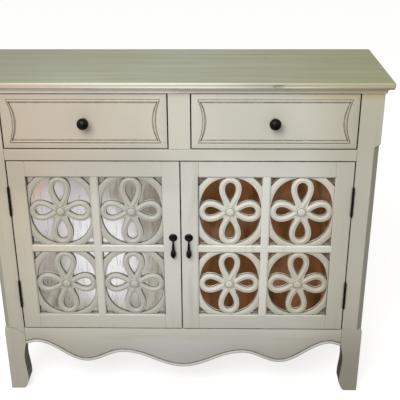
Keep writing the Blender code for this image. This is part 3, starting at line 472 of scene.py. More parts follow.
# Each finish with its slot, its maker and what the maker takes
finishes, slot_of = {}, {}
for slot, name, make, *given in (
        ("cream_paint", "upright_cream", paint_cream, along_z),
        ("cream_paint", "level_cream", paint_cream, along_x),
        ("cream_paint", "deep_cream", paint_cream, along_y),
        ("cream_paint", "carved_cream", paint_fretwork),
        # painted light on the cove, most on its left, and on the muntins, most on the right door
        ("cream_paint", "cove_cream", paint_cream, along_x, 0.5, 0.003, 0.4, (0.55, 0.15)),
        ("cream_paint", "apron_cream", paint_apron),
        ("cream_paint", "muntin_cream", paint_cream, along_z, 0.95, 0.003, 0.3, (0.06, 0.28)),
        ("cream_paint", "leg_cream", paint_legs),
        ("sage_top", "sage_top", paint_top),
        ("plain_board", "level_board", leave_plain, (0.5, 0.36, 0.21), (0.36, 0.24, 0.13), (0.06, 1, 1)),
        ("plain_board", "deep_board", leave_plain, (0.52, 0.38, 0.23), (0.38, 0.26, 0.14), (1, 0.06, 1)),
        ("plain_board", "back_sheet", leave_plain, (0.34, 0.22, 0.12), (0.25, 0.15, 0.08), (1, 1, 0.05)),
        ("mirror_glass", "mirror_glass", silver),
        ("dark_bronze", "dark_bronze", blacken, (0.01, 0.009, 0.008), (0.1, 0.07, 0.045), 0.36, 0.7),
        ("black_hinge", "black_hinge", blacken, (0.012, 0.01, 0.009), (0.1, 0.07, 0.05), 0.4, 0.7),
        ("catch_plastic", "catch_plastic", mould),
        ("black_hinge", "screw_steel", blacken, (0.11, 0.1, 0.09), (0.35, 0.33, 0.3), 0.35, 0.9)):
    finishes[name], slot_of[name] = bpy.data.materials.new(name), slot
    finishes[name].use_nodes = True
    make(finishes[name].node_tree, *given)

# Meshes

def plain(shape, name, outwards=True):
    """The finished mesh of a shape under construction, its faces turned outwards."""
    if outwards:
        bmesh.ops.recalc_face_normals(shape, faces=shape.faces)
    mesh = bpy.data.meshes.new(name)
    shape.to_mesh(mesh)
    shape.free()
    return mesh


def merged(mesh):
    """A shape under construction, begun with a mesh whose corners are joined again."""
    shape = bmesh.new()
    shape.from_mesh(mesh)
    bmesh.ops.remove_doubles(shape, verts=shape.verts, dist=weld)
    return shape


def board_copy(name):
    """A CAD node's mesh with its flat faces in one piece."""
    shape = merged(nodes[name].data)
    bmesh.ops.dissolve_limit(shape, angle_limit=flat_angle, verts=shape.verts, edges=shape.edges)
    return plain(shape, name + "_copy", outwards=False)


def welded(mesh):
    """A mesh with its corners joined, rounded by its shading."""
    return shaded(plain(merged(mesh), mesh.name))


def shaded(mesh):
    """Rounds the shading except across real corners."""
    for face in mesh.polygons:
        face.use_smooth = True
    mesh.set_sharp_from_angle(angle=smooth_angle)
    return mesh


def shown(name, data):
    """A helper object, in the scene for as long as it is needed."""
    helper = bpy.data.objects.new(name, data)
    scene.collection.objects.link(helper)
    return helper


def evaluated(holder):
    """The plain mesh of an object as it stands; the object goes."""
    graph = bpy.context.evaluated_depsgraph_get()
    mesh = bpy.data.meshes.new_from_object(holder.evaluated_get(graph))
    if holder.type == "MESH":
        holder.modifiers.clear()
    bpy.data.objects.remove(holder, do_unlink=True)
    return mesh


def softened(mesh, width=0.0008, segments=2):
    """A mesh with its sharp edges eased by a narrow rounded bevel."""
    for face in mesh.polygons:
        face.use_smooth = True
    holder = shown("softened", mesh)
    bevel = holder.modifiers.new("eased edges", "BEVEL")
    bevel.limit_method = "ANGLE"
    bevel.angle_limit = edge_angle
    bevel.width = width
    bevel.segments = segments
    bevel.miter_outer = "MITER_ARC"
    holder.modifiers.new("even shading", "WEIGHTED_NORMAL").keep_sharp = True
    return evaluated(holder)


def carved(mesh, tool_mesh, place):
    """A mesh with the shape of another one, set at a place, cut out of it."""
    tool = shown("tool", tool_mesh)
    tool.location = place
    bpy.context.view_layer.update()
    holder = shown("carved", mesh)
    cut = holder.modifiers.new("cut", "BOOLEAN")
    cut.operation = "DIFFERENCE"
    cut.solver = "EXACT"
    cut.object = tool
    made = evaluated(holder)
    bpy.data.objects.remove(tool, do_unlink=True)
    return made


def joined(name, *meshes):
    """Several meshes as one."""
    shape = bmesh.new()
    for mesh in meshes:
        shape.from_mesh(mesh)
    return plain(shape, name, outwards=False)


def placed(mesh, place, turn=None):
    """A mesh turned about the origin and then moved to a place."""
    mesh.transform(Matrix.Translation(place) @ (turn or Matrix()))
    return mesh


def mm(*pairs):
    """Pairs given in millimetres."""
    return [(first / 1000, second / 1000) for first, second in pairs]


def turned(profile, count, closed=False):
    """A turned mesh about Z from (radius, height) pairs; a closed profile makes a ring."""
    shape = bmesh.new()
    rings = []
    for radius, height in profile:
        turns = [2 * math.pi * step / count for step in range(count if radius else 1)]
        rings.append([shape.verts.new((radius * math.cos(turn), radius * math.sin(turn), height))
                      for turn in turns])
    for first, second in zip(rings, rings[1:] + rings[:1] if closed else rings[1:]):
        for step in range(count):
            corners = [first[step % len(first)], first[(step + 1) % len(first)],
                       second[(step + 1) % len(second)], second[step % len(second)]]
            shape.faces.new(list(dict.fromkeys(corners)))
    return shaded(plain(shape, "turned"))


def lofted(loops):
    """A skin through closed loops of the same number of points, with flat ends."""
    shape = bmesh.new()
    rows = [[shape.verts.new(point) for point in loop] for loop in loops]
    for first, second in zip(rows, rows[1:]):
        for step in range(len(first)):
            following = (step + 1) % len(first)
            shape.faces.new((first[step], first[following], second[following], second[step]))
    shape.faces.new(rows[0])
    shape.faces.new(rows[-1])
    return plain(shape, "lofted")


def slab(outline, bottom, top):
    """A flat outline in X and Y, without holes, from one height to another."""
    return lofted([[(x, y, height) for x, y in outline] for height in (bottom, top)])


def brick(low, high):
    """A rectangular block between two corners."""
    outline = ((low[0], low[1]), (high[0], low[1]), (high[0], high[1]), (low[0], high[1]))
    return slab(outline, low[2], high[2])


def settle(name, mesh, finish_name, body, *stands_for):
    """Puts a finished piece on its body, in its finish, in place of the CAD nodes it stands for."""
    mesh.materials.clear()
    mesh.materials.append(finishes[finish_name])
    for face in mesh.polygons:
        face.material_index = 0
    piece = shown(name, mesh)
    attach(piece, body)
    if stands_for:
        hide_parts(*stands_for)


def settle_board(name, finish_name, width=0.0008, segments=2, longer=0.0):
    """A CAD board with eased edges, in its own place; some run a hair longer, to close a glued joint."""
    mesh = softened(board_copy(name), width, segments)
    low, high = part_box(name)
    middle, stretch = (low.x + high.x) / 2, 1 + 2 * longer / (high.x - low.x)
    for vertex in mesh.vertices:
        vertex.co.x = middle + (vertex.co.x - middle) * stretch
    settle(name + "_eased", mesh, finish_name, nodes[name]["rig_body"], name)


# Geometry Nodes: bands that follow a path, and small pieces set at many places

def node_tree(name, inputs, build):
    """A Geometry Nodes tree with named inputs, around what build makes of them."""
    tree = bpy.data.node_groups.new(name, "GeometryNodeTree")
    tree.interface.new_socket("Geometry", in_out="OUTPUT", socket_type="NodeSocketGeometry")
    for label, kind in (("Geometry", "Geometry"), *inputs, ("Finish", "Material")):
        tree.interface.new_socket(label, in_out="INPUT", socket_type="NodeSocket" + kind)
    given = tree.nodes.new("NodeGroupInput").outputs
    real = node(tree, "GeometryNodeRealizeInstances", {"Geometry": build(tree, given)}).outputs[0]
    done = node(tree, "GeometryNodeSetMaterial", {"Geometry": real, "Material": given["Finish"]})
    tree.links.new(done.outputs[0], tree.nodes.new("NodeGroupOutput").inputs["Geometry"])
    return tree


def moulding(tree, given):
    """A moulding of a given section along paths drawn flat in X and Y."""
    path = node(tree, "GeometryNodeMeshToCurve", {"Mesh": given["Geometry"]}).outputs[0]
    level = node(tree, "GeometryNodeSetCurveNormal", {"Curve": path}, mode="Z_UP").outputs[0]
    drawn = node(tree, "GeometryNodeObjectInfo", {"Object": given["Section"]}).outputs["Geometry"]
    section = node(tree, "GeometryNodeMeshToCurve", {"Mesh": drawn}).outputs[0]
    skin = {"Curve": level, "Profile Curve": section, "Fill Caps": True}
    return node(tree, "GeometryNodeCurveToMesh", skin).outputs[0]


def scatter(tree, given):
    """A small piece set at every point, each turned by up to Turn on its own axis."""
    points = node(tree, "GeometryNodeMeshToPoints", {"Mesh": given["Geometry"]}).outputs[0]
    shape = node(tree, "GeometryNodeObjectInfo", {"Object": given["Piece"]}).outputs["Geometry"]
    # inputs 2 and 3 are the least and the greatest number
    turn = node(tree, "FunctionNodeRandomValue", {2: 0, 3: given["Turn"], "Seed": 7}, data_type="FLOAT")
    spin = node(tree, "CombineXYZ", {"Z": turn.outputs[1]}).outputs[0]
    put = {"Points": points, "Instance": shape, "Rotation": spin}
    return node(tree, "GeometryNodeInstanceOnPoints", put).outputs[0]


band_tree = node_tree("moulding_along_path", [("Section", "Object")], moulding)
scatter_tree = node_tree("set_at_points", [("Piece", "Object"), ("Turn", "Float")], scatter)


def through_nodes(mesh, tree, finish_name, label, sample, **values):
    """The plain mesh that a Geometry Nodes tree makes of a mesh, with a sample as its input object."""
    labels = {item.name: item.identifier for item in tree.interface.items_tree
              if item.item_type == "SOCKET" and item.in_out == "INPUT"}
    sample = shown("sample", sample)
    holder = shown("holder", mesh)
    step = holder.modifiers.new(tree.name, "NODES")
    step.node_group = tree
    for name, value in {label: sample, "Finish": finishes[finish_name], **values}.items():
        step[labels[name]] = value
    made = evaluated(holder)
    bpy.data.objects.remove(sample, do_unlink=True)
    return made


def wire_mesh(paths, closed):
    """Paths of X and Y points as bare edges."""
    shape = bmesh.new()
    for path in paths:
        points = [shape.verts.new((x, y, 0)) for x, y in path]
        for first, second in zip(points, points[1:] + points[:1] if closed else points[1:]):
            shape.edges.new((first, second))
    return plain(shape, "wire")


def band(paths, section, closed):
    """A moulding along paths in X and Y; its section is drawn across and downwards."""
    section = wire_mesh([section], True)
    return welded(through_nodes(wire_mesh(paths, closed), band_tree, "carved_cream", "Section", section))


def domed_section(half_band, rise, depth, power):
    """A domed top of a given rise with straight sides down to a depth, both measured downwards."""
    places = [half_band * math.sin(math.pi / 2 * (step / 6 - 1)) for step in range(13)]
    top = [(x, rise * (abs(x) / half_band) ** power) for x in places]
    return [(-half_band, depth), *top, (half_band, depth)]


def set_at(points, piece_mesh, finish_name, turn=0.0):
    """Copies of a small mesh, its top along +Z, at points of the plane Z = 0."""
    dots = bpy.data.meshes.new("dots")
    dots.from_pydata([(x, y, 0) for x, y in points], [], [])
    return through_nodes(dots, scatter_tree, finish_name, "Piece", piece_mesh, Turn=turn)


# Screws

def screw_head(radius):
    """A flat countersunk head with a cross recess, its top along +Z and just proud."""
    profile = [(0, 0.0002), (radius * 0.8, 0.0002), (radius, 0.0), (radius, -0.0004), (0, -0.0004)]
    arm, thin = radius * 0.62, radius * 0.16
    cross = [(-arm, -thin), (-thin, -thin), (-thin, -arm), (thin, -arm), (thin, -thin), (arm, -thin),
             (arm, thin), (thin, thin), (thin, arm), (-thin, arm), (-thin, thin), (-arm, thin)]
    return carved(turned(profile, 16), slab(cross, -0.0003, 0.0003), (0, 0, 0.0003))


def settle_screws(name, body, points, radius, place, turn):
    heads = set_at(points, screw_head(radius), "screw_steel", 3.0)
    settle(name + "_screws", placed(heads, place, turn), "screw_steel", body)


# Top board and cove

def make_top():
    """Slab with a rounded edge, dented on its front edge."""
    low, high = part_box("top_board")
    dent = bmesh.new()
    bmesh.ops.create_icosphere(dent, subdivisions=3, radius=1)
    for vertex in dent.verts:
        x, y, z = vertex.co
        swell = 1 + 0.16 * math.sin(5 * x + 1) * math.cos(4 * z) + 0.1 * math.sin(9 * x + 3 * z)
        vertex.co = (0.0135 * x * swell, 0.0034 * y * swell, 0.0042 * z * swell)
    rounded = softened(brick(low, high), 0.0055, 8)
    mesh = carved(rounded, plain(dent, "dent", outwards=False), (0.2385, low.y, 0.9062))
    settle("top_board_rounded", shaded(mesh), "sage_top", "root", "top_board")


def cove_profile():
    """The cove's section, as distance out from the carcass and height, drawn finely."""
    low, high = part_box("cornice_front")
    reach = front - low.y
    foot, inner = 0.0035, 0.0003
    top, bottom = high.z, low.z
    points = [(inner, top), (reach - 0.0004, top), (reach, top - 0.0004), (reach, top - 0.0021),
              (reach - 0.0004, top - 0.0025), (reach - 0.0012, top - 0.0026)]
    cove_top, cove_bottom = top - 0.0027, bottom + 0.003
    for step in range(15):
        angle = math.pi / 2 * step / 14
        points.append((reach - 0.0013 - (reach - 0.0013 - foot) * math.sin(angle),
                       cove_top - (cove_top - cove_bottom) * (1 - math.cos(angle))))
    return points + [(foot + 0.0008, cove_bottom - 0.0004), (foot + 0.0009, cove_bottom - 0.0014),
                     (foot + 0.0006, bottom + 0.0004), (foot, bottom), (inner, bottom)]


def make_coves():
    """Three lengths of cove, mitred at the front corners with a hair between them."""
    section = cove_profile()
    hair = 0.0001

    def settle_cove(word, finish_name, loops):
        name = f"cornice_{word}"
        settle(name + "_cove", softened(lofted(loops), 0.0002, 1), finish_name, "root", name)

    settle_cove("front", "cove_cream", [[(sign * (half_width + out - hair), front - out, z) for out, z in section]
                                        for sign, _ in sides])
    for sign, word in sides:
        settle_cove(word, "deep_cream",
                    [[(sign * (half_width + out), front - out + hair, z) for out, z in section],
                     [(sign * (half_width + out), case_back, z) for out, z in section]])


# Apron with its scalloped lower edge

def half_wave(start, end, steps):
    """Points of half a cosine wave after its start."""
    shares = [step / steps for step in range(1, steps + 1)]
    return [(start[0] + (end[0] - start[0]) * share,
             start[1] + (end[1] - start[1]) * (1 - math.cos(math.pi * share)) / 2) for share in shares]


def make_apron():
    """The lower edge runs in waves; a bead and then a groove follow it."""
    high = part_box("apron")[1]
    reach = high.x
    # the wave's highest and lowest points, from its end at the post to the middle
    peak, hollow = 0.1605, 0.097
    turns = [(reach * share, height) for share, height in
             ((0.9365, peak), (0.617, hollow), (0.381, 0.128), (0.0, 0.0795))]
    points = [(reach, peak - 0.1 * (peak - hollow))]
    points += half_wave(points[0], turns[0], 8)
    for start, end in zip(turns, turns[1:]):
        points += half_wave(start, end, 30)
    line = points + [(-x, z) for x, z in reversed(points[:-1])]
    # distance up from the edge, and depth behind the front
    edge_rows = ((0, board_thick), *mm((0, 1.4), (0.4, 0.3), (1.4, -0.6), (3, -1.2), (4.8, -1.3), (6.4, -0.9),
        (7.6, 0), (8.2, 1.2), (8.6, 2.4), (10.6, 2.4), (11.1, 1.2), (11.8, 0.2), (12.8, 0)))
    top_rows = (*mm((0.6, 0), (0.2, 0.2), (0, 0.6)), (0, board_thick))
    loops = []
    for index, (x, z) in enumerate(line):
        before, after = line[max(index - 1, 0)], line[min(index + 1, len(line) - 1)]
        along = Vector((after[0] - before[0], after[1] - before[1])).normalized()
        at_end = index in (0, len(line) - 1)
        loop = []
        for offset, depth in edge_rows:
            place_x = math.copysign(reach, x) if at_end else max(-reach, min(reach, x + along.y * offset))
            loop.append((place_x, front + depth, z - along.x * offset))
        loops.append(loop + [(loop[-1][0], front + depth, high.z - down) for down, depth in top_rows])
    settle("apron_beaded", shaded(lofted(loops)), "apron_cream", "root", "apron")


# Drawers

def bowed_loop(half_long, half_high, inset, bow, y, middle):
    """A long rectangle with its ends bowed inwards, upright at a given depth."""
    long, high = half_long - inset, half_high - inset
    shares = [step / 12 - 1 for step in range(25)]
    right = [(long - bow * (1 - share * share), high * share) for share in shares]
    return [(middle.x + x, y, middle.z + z) for x, z in right + [(-x, z) for x, z in reversed(right)]]


def knob_profile():
    """Round knob on a stepped base, with the bolt behind it; front first."""
    angles = [math.pi / 2 - math.pi * step / 20 for step in range(1, 20)]
    ball = [(0.0146 * math.cos(angle) ** 0.92, 0.021 + 0.0125 * math.sin(angle)) for angle in angles]
    return [(0, 0.0335), *ball, *mm((5, 8.3), (4.7, 7.2), (4.7, 5.2), (5.2, 4.1), (6.6, 3.6), (7.8, 3),
        (8.4, 2.2), (8.5, 1.2), (8.4, 0.3), (2, 0.3), (2, -20.3), (4.2, -20.3), (4.2, -22), (3.6, -22.5),
        (0, -22.5))]


def make_drawer(word):
    """A box whose front has a raised band between two grooves, its ends bowed inwards, and a knob."""
    body = f"drawer_{word}"
    low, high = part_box(f"{body}_front")
    middle, half = (low + high) / 2, (high - low) / 2
    edge = ((0, board_thick), *mm((0, 1.2), (0.3, 0.4), (1, 0)))
    # inset from the band's outline, and depth behind the front
    band_rows = mm((-1, 0), (-0.4, 0.6), (0.2, 1.1), (0.8, 0.8), (1.2, -0.5), (1.9, -1.6), (2.9, -2.2),
        (4, -2.1), (4.9, -1.3), (5.5, -0.1), (5.9, 1.1), (6.4, 1.8), (7.8, 1.8), (8.6, 0.9), (9.4, 0))
    loops = [bowed_loop(half.x, half.z, inset, 0, front + depth, middle) for inset, depth in edge]
    end_margin, long_margin, bow = 0.016, 0.0142, 0.0115
    loops += [bowed_loop(half.x - end_margin, half.z - long_margin, inset, bow, front + depth, middle)
              for inset, depth in band_rows]
    settle(f"{body}_front_beaded", shaded(lofted(loops)), "level_cream", body, f"{body}_front")
    knob = placed(turned(knob_profile(), 48), (middle.x, front, middle.z), upright)
    settle(f"{body}_knob_turned", knob, "dark_bronze", body, f"{body}_knob")
    for part, finish_name in (("side_left", "deep_board"), ("side_right", "deep_board"),
                              ("back", "level_board"), ("bottom", "level_board")):
        settle_board(f"{body}_{part}", finish_name)


# Fretwork

pane_wide, pane_high = 0.1622, 0.1933
half_bar = 0.0215 / 2
petal_band = 0.014
# Where a petal's hole starts and ends from the tile's middle, and whether the petal points up
petals = (((pane_high / 2 * 0.2587, pane_high / 2 - 0.0148), True),
          ((pane_wide / 2 * 0.2528, pane_wide / 2 - 0.0148), False))
ring_reach = (pane_wide / 2 - 0.0014, pane_high / 2 - 0.0017)
ring_power = 2.3


def petal_point(tip, end, turn, out):
    """A point beside a petal's teardrop hole along +X, at a distance out from it."""
    reach = (end - tip) / 2
    swell = 0.01425 / (4 / (3 * math.sqrt(3)))
    x = tip + reach * (1 - math.cos(turn))
    y = swell * math.sin(turn) * math.sin(turn / 2)
    step_x = reach * math.sin(turn)
    step_y = swell * (math.cos(turn) * math.sin(turn / 2) + math.sin(turn) * math.cos(turn / 2) / 2)
    length = math.hypot(step_x, step_y)
    return x - out * step_y / length, y + out * step_x / length


def laid(points, upwards, way=1):
    """Points drawn along +X, laid along one of a tile's four petals."""
    return [(y, way * x) if upwards else (way * x, y) for x, y in points]


def petal_path(span):
    """Centre-line of a petal's loop along +X; its two ends run on under the tile's middle."""
    side = [petal_point(*span, math.pi * step / 44, petal_band / 2) for step in range(1, 44)]
    start, following = Vector(side[0]), Vector(side[1])
    upper = [tuple(start + (start - following).normalized() * 0.009)] + side
    return upper + [(span[1] + petal_band / 2, 0)] + [(x, -y) for x, y in reversed(upper)]


def ring_place(turn, out):
    """A point of the ring's inner edge, an ellipse drawn a little square, moved outwards."""
    ways = (math.cos(turn), math.sin(turn))
    total = sum((abs(way) / reach) ** ring_power for way, reach in zip(ways, ring_reach))
    x, y = (way * total ** (-1 / ring_power) for way in ways)
    slope = Vector([math.copysign(abs(part) ** (ring_power - 1) / reach ** ring_power, part)
                    for part, reach in zip((x, y), ring_reach)]).normalized()
    return x + out * slope.x, y + out * slope.y


def quarter_hole():
    """The opening between the right-hand and the upper petal, inside the ring."""
    root = math.radians(55)
    edges = []
    for span, upwards in petals:
        inside, outside = root, math.pi
        for _ in range(30):
            middle = (inside + outside) / 2
            (x, y), = laid([petal_point(*span, middle, petal_band)], upwards)
            if math.hypot(x, y) < math.hypot(*ring_place(math.atan2(y, x), 0)):
                inside = middle
            else:
                outside = middle
        points = [petal_point(*span, root + (inside - root) * step / 24, petal_band) for step in range(25)]
        edges.append(laid(points, upwards))
    upper, right = edges
    start, end = (math.atan2(y, x) for x, y in (upper[-1], right[-1]))
    ring = [ring_place(start + (end - start) * step / 32, 0) for step in range(1, 32)]
    return [(pane_wide * 0.0986, pane_high * 0.0859)] + upper + ring + right[::-1]


def tile_holes():
    """All openings of one tile about its centre."""
    x, y = pane_wide / 2, pane_high / 2
    corner_gap = [(x, y), (x, y - pane_high * 0.134), (x - pane_wide * 0.154, y)]
    holes = [[(flip_x * x, flip_y * y) for x, y in loop]
             for flip_x, flip_y in ((1, 1), (-1, 1), (-1, -1), (1, -1)) for loop in (quarter_hole(), corner_gap)]
    for way in (1, -1):
        for span, upwards in petals:
            side = [petal_point(*span, math.pi * step / 36, 0) for step in range(1, 36)]
            hole = [(span[0], 0)] + side + [(span[1], 0)] + [(x, -y) for x, y in reversed(side)]
            holes.append(laid(hole, upwards, way))
    return holes


def ring_sheet(holes, low, high):
    """The flat sheet with its openings, its front face set back under the mouldings."""
    curve = bpy.data.curves.new("sheet", "CURVE")
    curve.dimensions = "2D"
    curve.fill_mode = "BOTH"
    front_y, back_y = low.y + 0.0022, high.y
    curve.extrude = (back_y - front_y) / 2
    for loop in [[(low.x, low.z), (high.x, low.z), (high.x, high.z), (low.x, high.z)]] + holes:
        spline = curve.splines.new("POLY")
        spline.points.add(len(loop) - 1)
        spline.use_cyclic_u = True
        for point, (x, z) in zip(spline.points, loop):
            point.co = (x, z, 0, 1)
    return placed(welded(evaluated(shown("sheet", curve))), (0, (front_y + back_y) / 2, 0), upright)


def make_fretwork(word):
    """Four tiles: a ring round a pane, and looped petals that pass over it to a domed button."""
    name = f"door_{word}_fretwork"
    low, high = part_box(name)
    middle = sum(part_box(f"door_{word}_mirror"), Vector()) / 2
    centres = [(middle.x + way_x * (pane_wide / 2 + half_bar), middle.z + way_z * (pane_high / 2 + half_bar))
               for way_z in (1, -1) for way_x in (-1, 1)]
    holes = [[(centre[0] + x, centre[1] + y) for x, y in hole] for centre in centres for hole in tile_holes()]
    meshes = [ring_sheet(holes, low, high)]
    paths = [laid(petal_path(span), upwards, way) for way in (1, -1) for span, upwards in petals]
    hair = 0.0001
    petal_section = domed_section(petal_band / 2 + hair, 0.0048, high.y - low.y - hair, 2.3)
    ring_path = [ring_place(math.radians(3 * step), 0.0079) for step in range(120)]
    mouldings = ((band(paths, petal_section, False), 0),
                 (band([ring_path], domed_section(0.0078, 0.0016, 0.003, 2.4), True), 0.0009))
    for x, z in centres:
        meshes += [placed(mesh.copy(), (x, low.y + back, z), upright) for mesh, back in mouldings]
    button = turned(mm((0, 3.6), (3.6, 3.5), (6.6, 3.1), (8.8, 2.5), (10, 1.8), (10.6, 0.9), (10.8, -0.2),
        (11.4, -0.3), (11.7, 0.6), (12.4, 1.1), (13.2, 1), (13.9, 0.4), (14.4, -0.8), (14.6, -6), (0, -6)), 48)
    meshes.append(placed(set_at(centres, button, "carved_cream"), (0, low.y - 0.0004, 0), upright))
    settle(f"{name}_carved", joined(name, *meshes), "carved_cream", f"door_{word}", name)


# Hinges and pulls

hinge_length, knuckles = 0.077, 5
knuckle_pitch = hinge_length / knuckles
# The gap between door and post, from the middle of the front
gap_inner, gap_outer = 0.438, 0.441
clear = 0.0003


def make_hinge(side, word, level):
    """Both leaves with their knuckles, necks and screws, and the turned tips of the pin."""
    low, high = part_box(f"hinge_{word}_{level}_post_leaf")
    centre = (low.z + high.z) / 2
    half_leaf, half_knuckle = (hinge_length - clear) / 2, (knuckle_pitch - clear) / 2
    radius, ease = 0.003, 0.0004
    x, y = side * (gap_inner + gap_outer) / 2, front - 0.0033
    barrel = [(0, half_knuckle), (radius - ease, half_knuckle), (radius, half_knuckle - ease),
              (radius, ease - half_knuckle), (radius - ease, -half_knuckle), (0, -half_knuckle)]
    tip = mm((0, 3.5), (1, 3.4), (1.9, 2.9), (2.4, 2.2), (2.6, 1.4), (2.2, 0.8), (2.8, 0.5), (2.8, 0), (0, 0))
    for kind, body, first, way, span in (
            ("post", "root", 0, -side, (gap_outer - 0.0013, gap_outer - clear)),
            ("door", f"door_{word}", 1, side, (gap_inner + clear, gap_inner + 0.0013))):
        name = f"hinge_{word}_{level}_{kind}_leaf"
        near, far = sorted(side * edge for edge in span)
        plate = brick((near, front + clear, centre - half_leaf), (far, front + 0.019, centre + half_leaf))
        meshes = [softened(plate, 0.0002, 1)]
        for index in range(first, knuckles, 2):
            middle = centre + (index + 0.5) * knuckle_pitch - hinge_length / 2
            bottom, top = middle - knuckle_pitch / 2 + clear, middle + knuckle_pitch / 2 - clear
            meshes += [placed(turned(barrel, 28), (x, y, middle)),
                       brick((near, y, bottom), (far, front + 0.008, top))]
        if kind == "post":
            for up in (1, -1):
                turned_tip = turned([(wide, up * height) for wide, height in tip], 28)
                meshes.append(placed(turned_tip, (x, y, centre + up * 0.0388)))
        settle(name + "_rounded", joined("hinge", *meshes), "black_hinge", body, name)
        # a head's top turns to face across the gap, its Y stays upright
        turn = Matrix(((0, 0, way, 0), (way, 0, 0, 0), (0, 1, 0, 0), (0, 0, 0, 1)))
        settle_screws(name, body, [(0, -0.029), (0, 0), (0, 0.029)], 0.0028,
                      (far if way > 0 else near, front + 0.0098, centre), turn)


def make_pull(word):
    """A domed rosette with two ears and a rod, and the drop that hangs on it."""
    name = f"door_{word}_pull_rosette"
    middle = sum(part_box(name), Vector()) / 2
    pivot = (middle.x, front - 0.0086, middle.z)
    dome = turned(mm((0, 3), (3, 3), (5.5, 2.8), (7.2, 2.4), (8.4, 1.8), (8.9, 1.4), (9.3, 1.2), (9.8, 1.5),
        (10.4, 1.5), (10.9, 1.1), (11, 0.7), (11, 0.3), (0, 0.3)), 48)
    meshes = [placed(dome, (middle.x, front, middle.z), upright)]
    angles = [math.pi * step / 14 for step in range(15)]
    ear = [(-0.0034 * math.sin(angle), -0.0034 * math.cos(angle)) for angle in angles]
    ear += [(0.0071, 0.0031), (0.0071, -0.0031)]
    sideways = Matrix(((0, 0, 1, 0), (1, 0, 0, 0), (0, 1, 0, 0), (0, 0, 0, 1)))
    for end in (-0.0027, 0.0027):
        shape = softened(slab(ear, -0.001, 0.001), 0.0003, 2)
        meshes.append(placed(shape, (pivot[0] + end, *pivot[1:]), sideways))
    rod = turned(mm((0, 3.3), (1.4, 3.2), (1.4, 2.7), (1, 2.6), (1, -2.6), (1.4, -2.7), (1.4, -3.2),
        (0, -3.3)), 20)
    meshes.append(placed(rod, pivot, crosswise))
    settle(name + "_domed", joined("rosette", *meshes), "dark_bronze", f"door_{word}", name)
    turns = [2 * math.pi * step / 12 for step in range(12)]
    eye = turned([(0.00215 + 0.00075 * math.cos(turn), 0.00075 * math.sin(turn)) for turn in turns], 28, True)
    # the hanging drop about its pivot: collar, waisted shaft, round bulb and pointed tip
    drop = turned(mm((0, -2.1), (1.3, -2.2), (1.3, -4.2), (2.1, -4.5), (2.6, -5.1), (2.6, -6), (2.2, -6.7),
        (2.4, -11), (2.8, -16), (3.2, -20.5), (3.6, -24.5), (3.9, -28.5), (3.9, -30.5), (3.2, -31.7),
        (3.1, -32.7), (4, -33.9), (5.1, -35.3), (6.2, -37.6), (6.9, -40.2), (7.3, -43.2), (7.3, -45.6),
        (7, -48), (6.3, -50.5), (5.2, -52.8), (3.8, -54.8), (2.4, -56.2), (1.1, -57.2), (0, -57.5)), 40)
    drop = placed(joined("drop", placed(eye, (0, 0, 0), crosswise), drop), pivot)
    settle(f"pull_{word}_drop_turned", drop, "dark_bronze", f"pull_{word}", f"pull_{word}_drop")


def make_door(side, word):
    for part, *how in (("stile_meeting", "upright_cream", 0.0003), ("stile_hinge", "upright_cream", 0.0003),
                       ("rail_top", "level_cream", 0.0002, 2, 0.00012),
                       ("rail_bottom", "level_cream", 0.0002, 2, 0.00012), ("muntins", "muntin_cream", 0.0006),
                       ("mirror", "mirror_glass", 0.0004, 1), ("backing", "back_sheet", 0.0003, 1)):
        settle_board(f"door_{word}_{part}", *how)
    make_fretwork(word)
    make_pull(word)
    for level in ("upper", "lower"):
        make_hinge(side, word, level)


# Carcass and catch

def make_carcass():
    for _, word in sides:
        settle_board(f"post_front_{word}", "leg_cream", 0.001, 3)
        settle_board(f"post_rear_{word}", "upright_cream", 0.001, 3)
        settle_board(f"side_panel_{word}", "upright_cream")
    for name, *how in (("top_rail", "level_cream"), ("mid_rail", "level_cream", 0.0007),
                       ("centre_stile", "upright_cream", 0.0007), ("drawer_deck", "level_board"),
                       ("cabinet_floor", "level_board"), ("shelf", "level_board", 0.0012, 3),
                       ("drawer_partition", "deep_board"), ("back_panel", "back_sheet")):
        settle_board(name, *how)
    low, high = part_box("back_panel")
    reach, rise = high.x - 0.01, (high.z - low.z) / 2 - 0.01
    spots = [(reach * (2 * step / 6 - 1), sign * rise) for step in range(7) for sign in (-1, 1)]
    spots += [(sign * reach, rise * (2 * step / 5 - 1)) for step in range(1, 5) for sign in (-1, 1)]
    backwards = Matrix(((-1, 0, 0, 0), (0, 0, 1, 0), (0, 1, 0, 0), (0, 0, 0, 1)))
    settle_screws("back_panel", "root", spots, 0.003, (0, high.y, (low.z + high.z) / 2), backwards)


def make_catch():
    """A moulded block with two screws."""
    low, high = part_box("door_catch")
    middle = (low + high) / 2
    settle("door_catch_moulded", softened(brick(low, high), 0.0015, 3), "catch_plastic", "root", "door_catch")
    settle_screws("door_catch", "root", [(-0.02, 0), (0.02, 0)], 0.003, (middle.x, low.y, middle.z), upright)


make_top()
make_coves()
make_apron()
make_carcass()
for _, word in sides:
    make_drawer(word)
for side, word in sides:
    make_door(side, word)
make_catch()


# Floor, light and camera

def tone(*values):
    """A colour from its 0 to 255 screen values."""
    return [((value / 255 + 0.055) / 1.055) ** 2.4 for value in values]


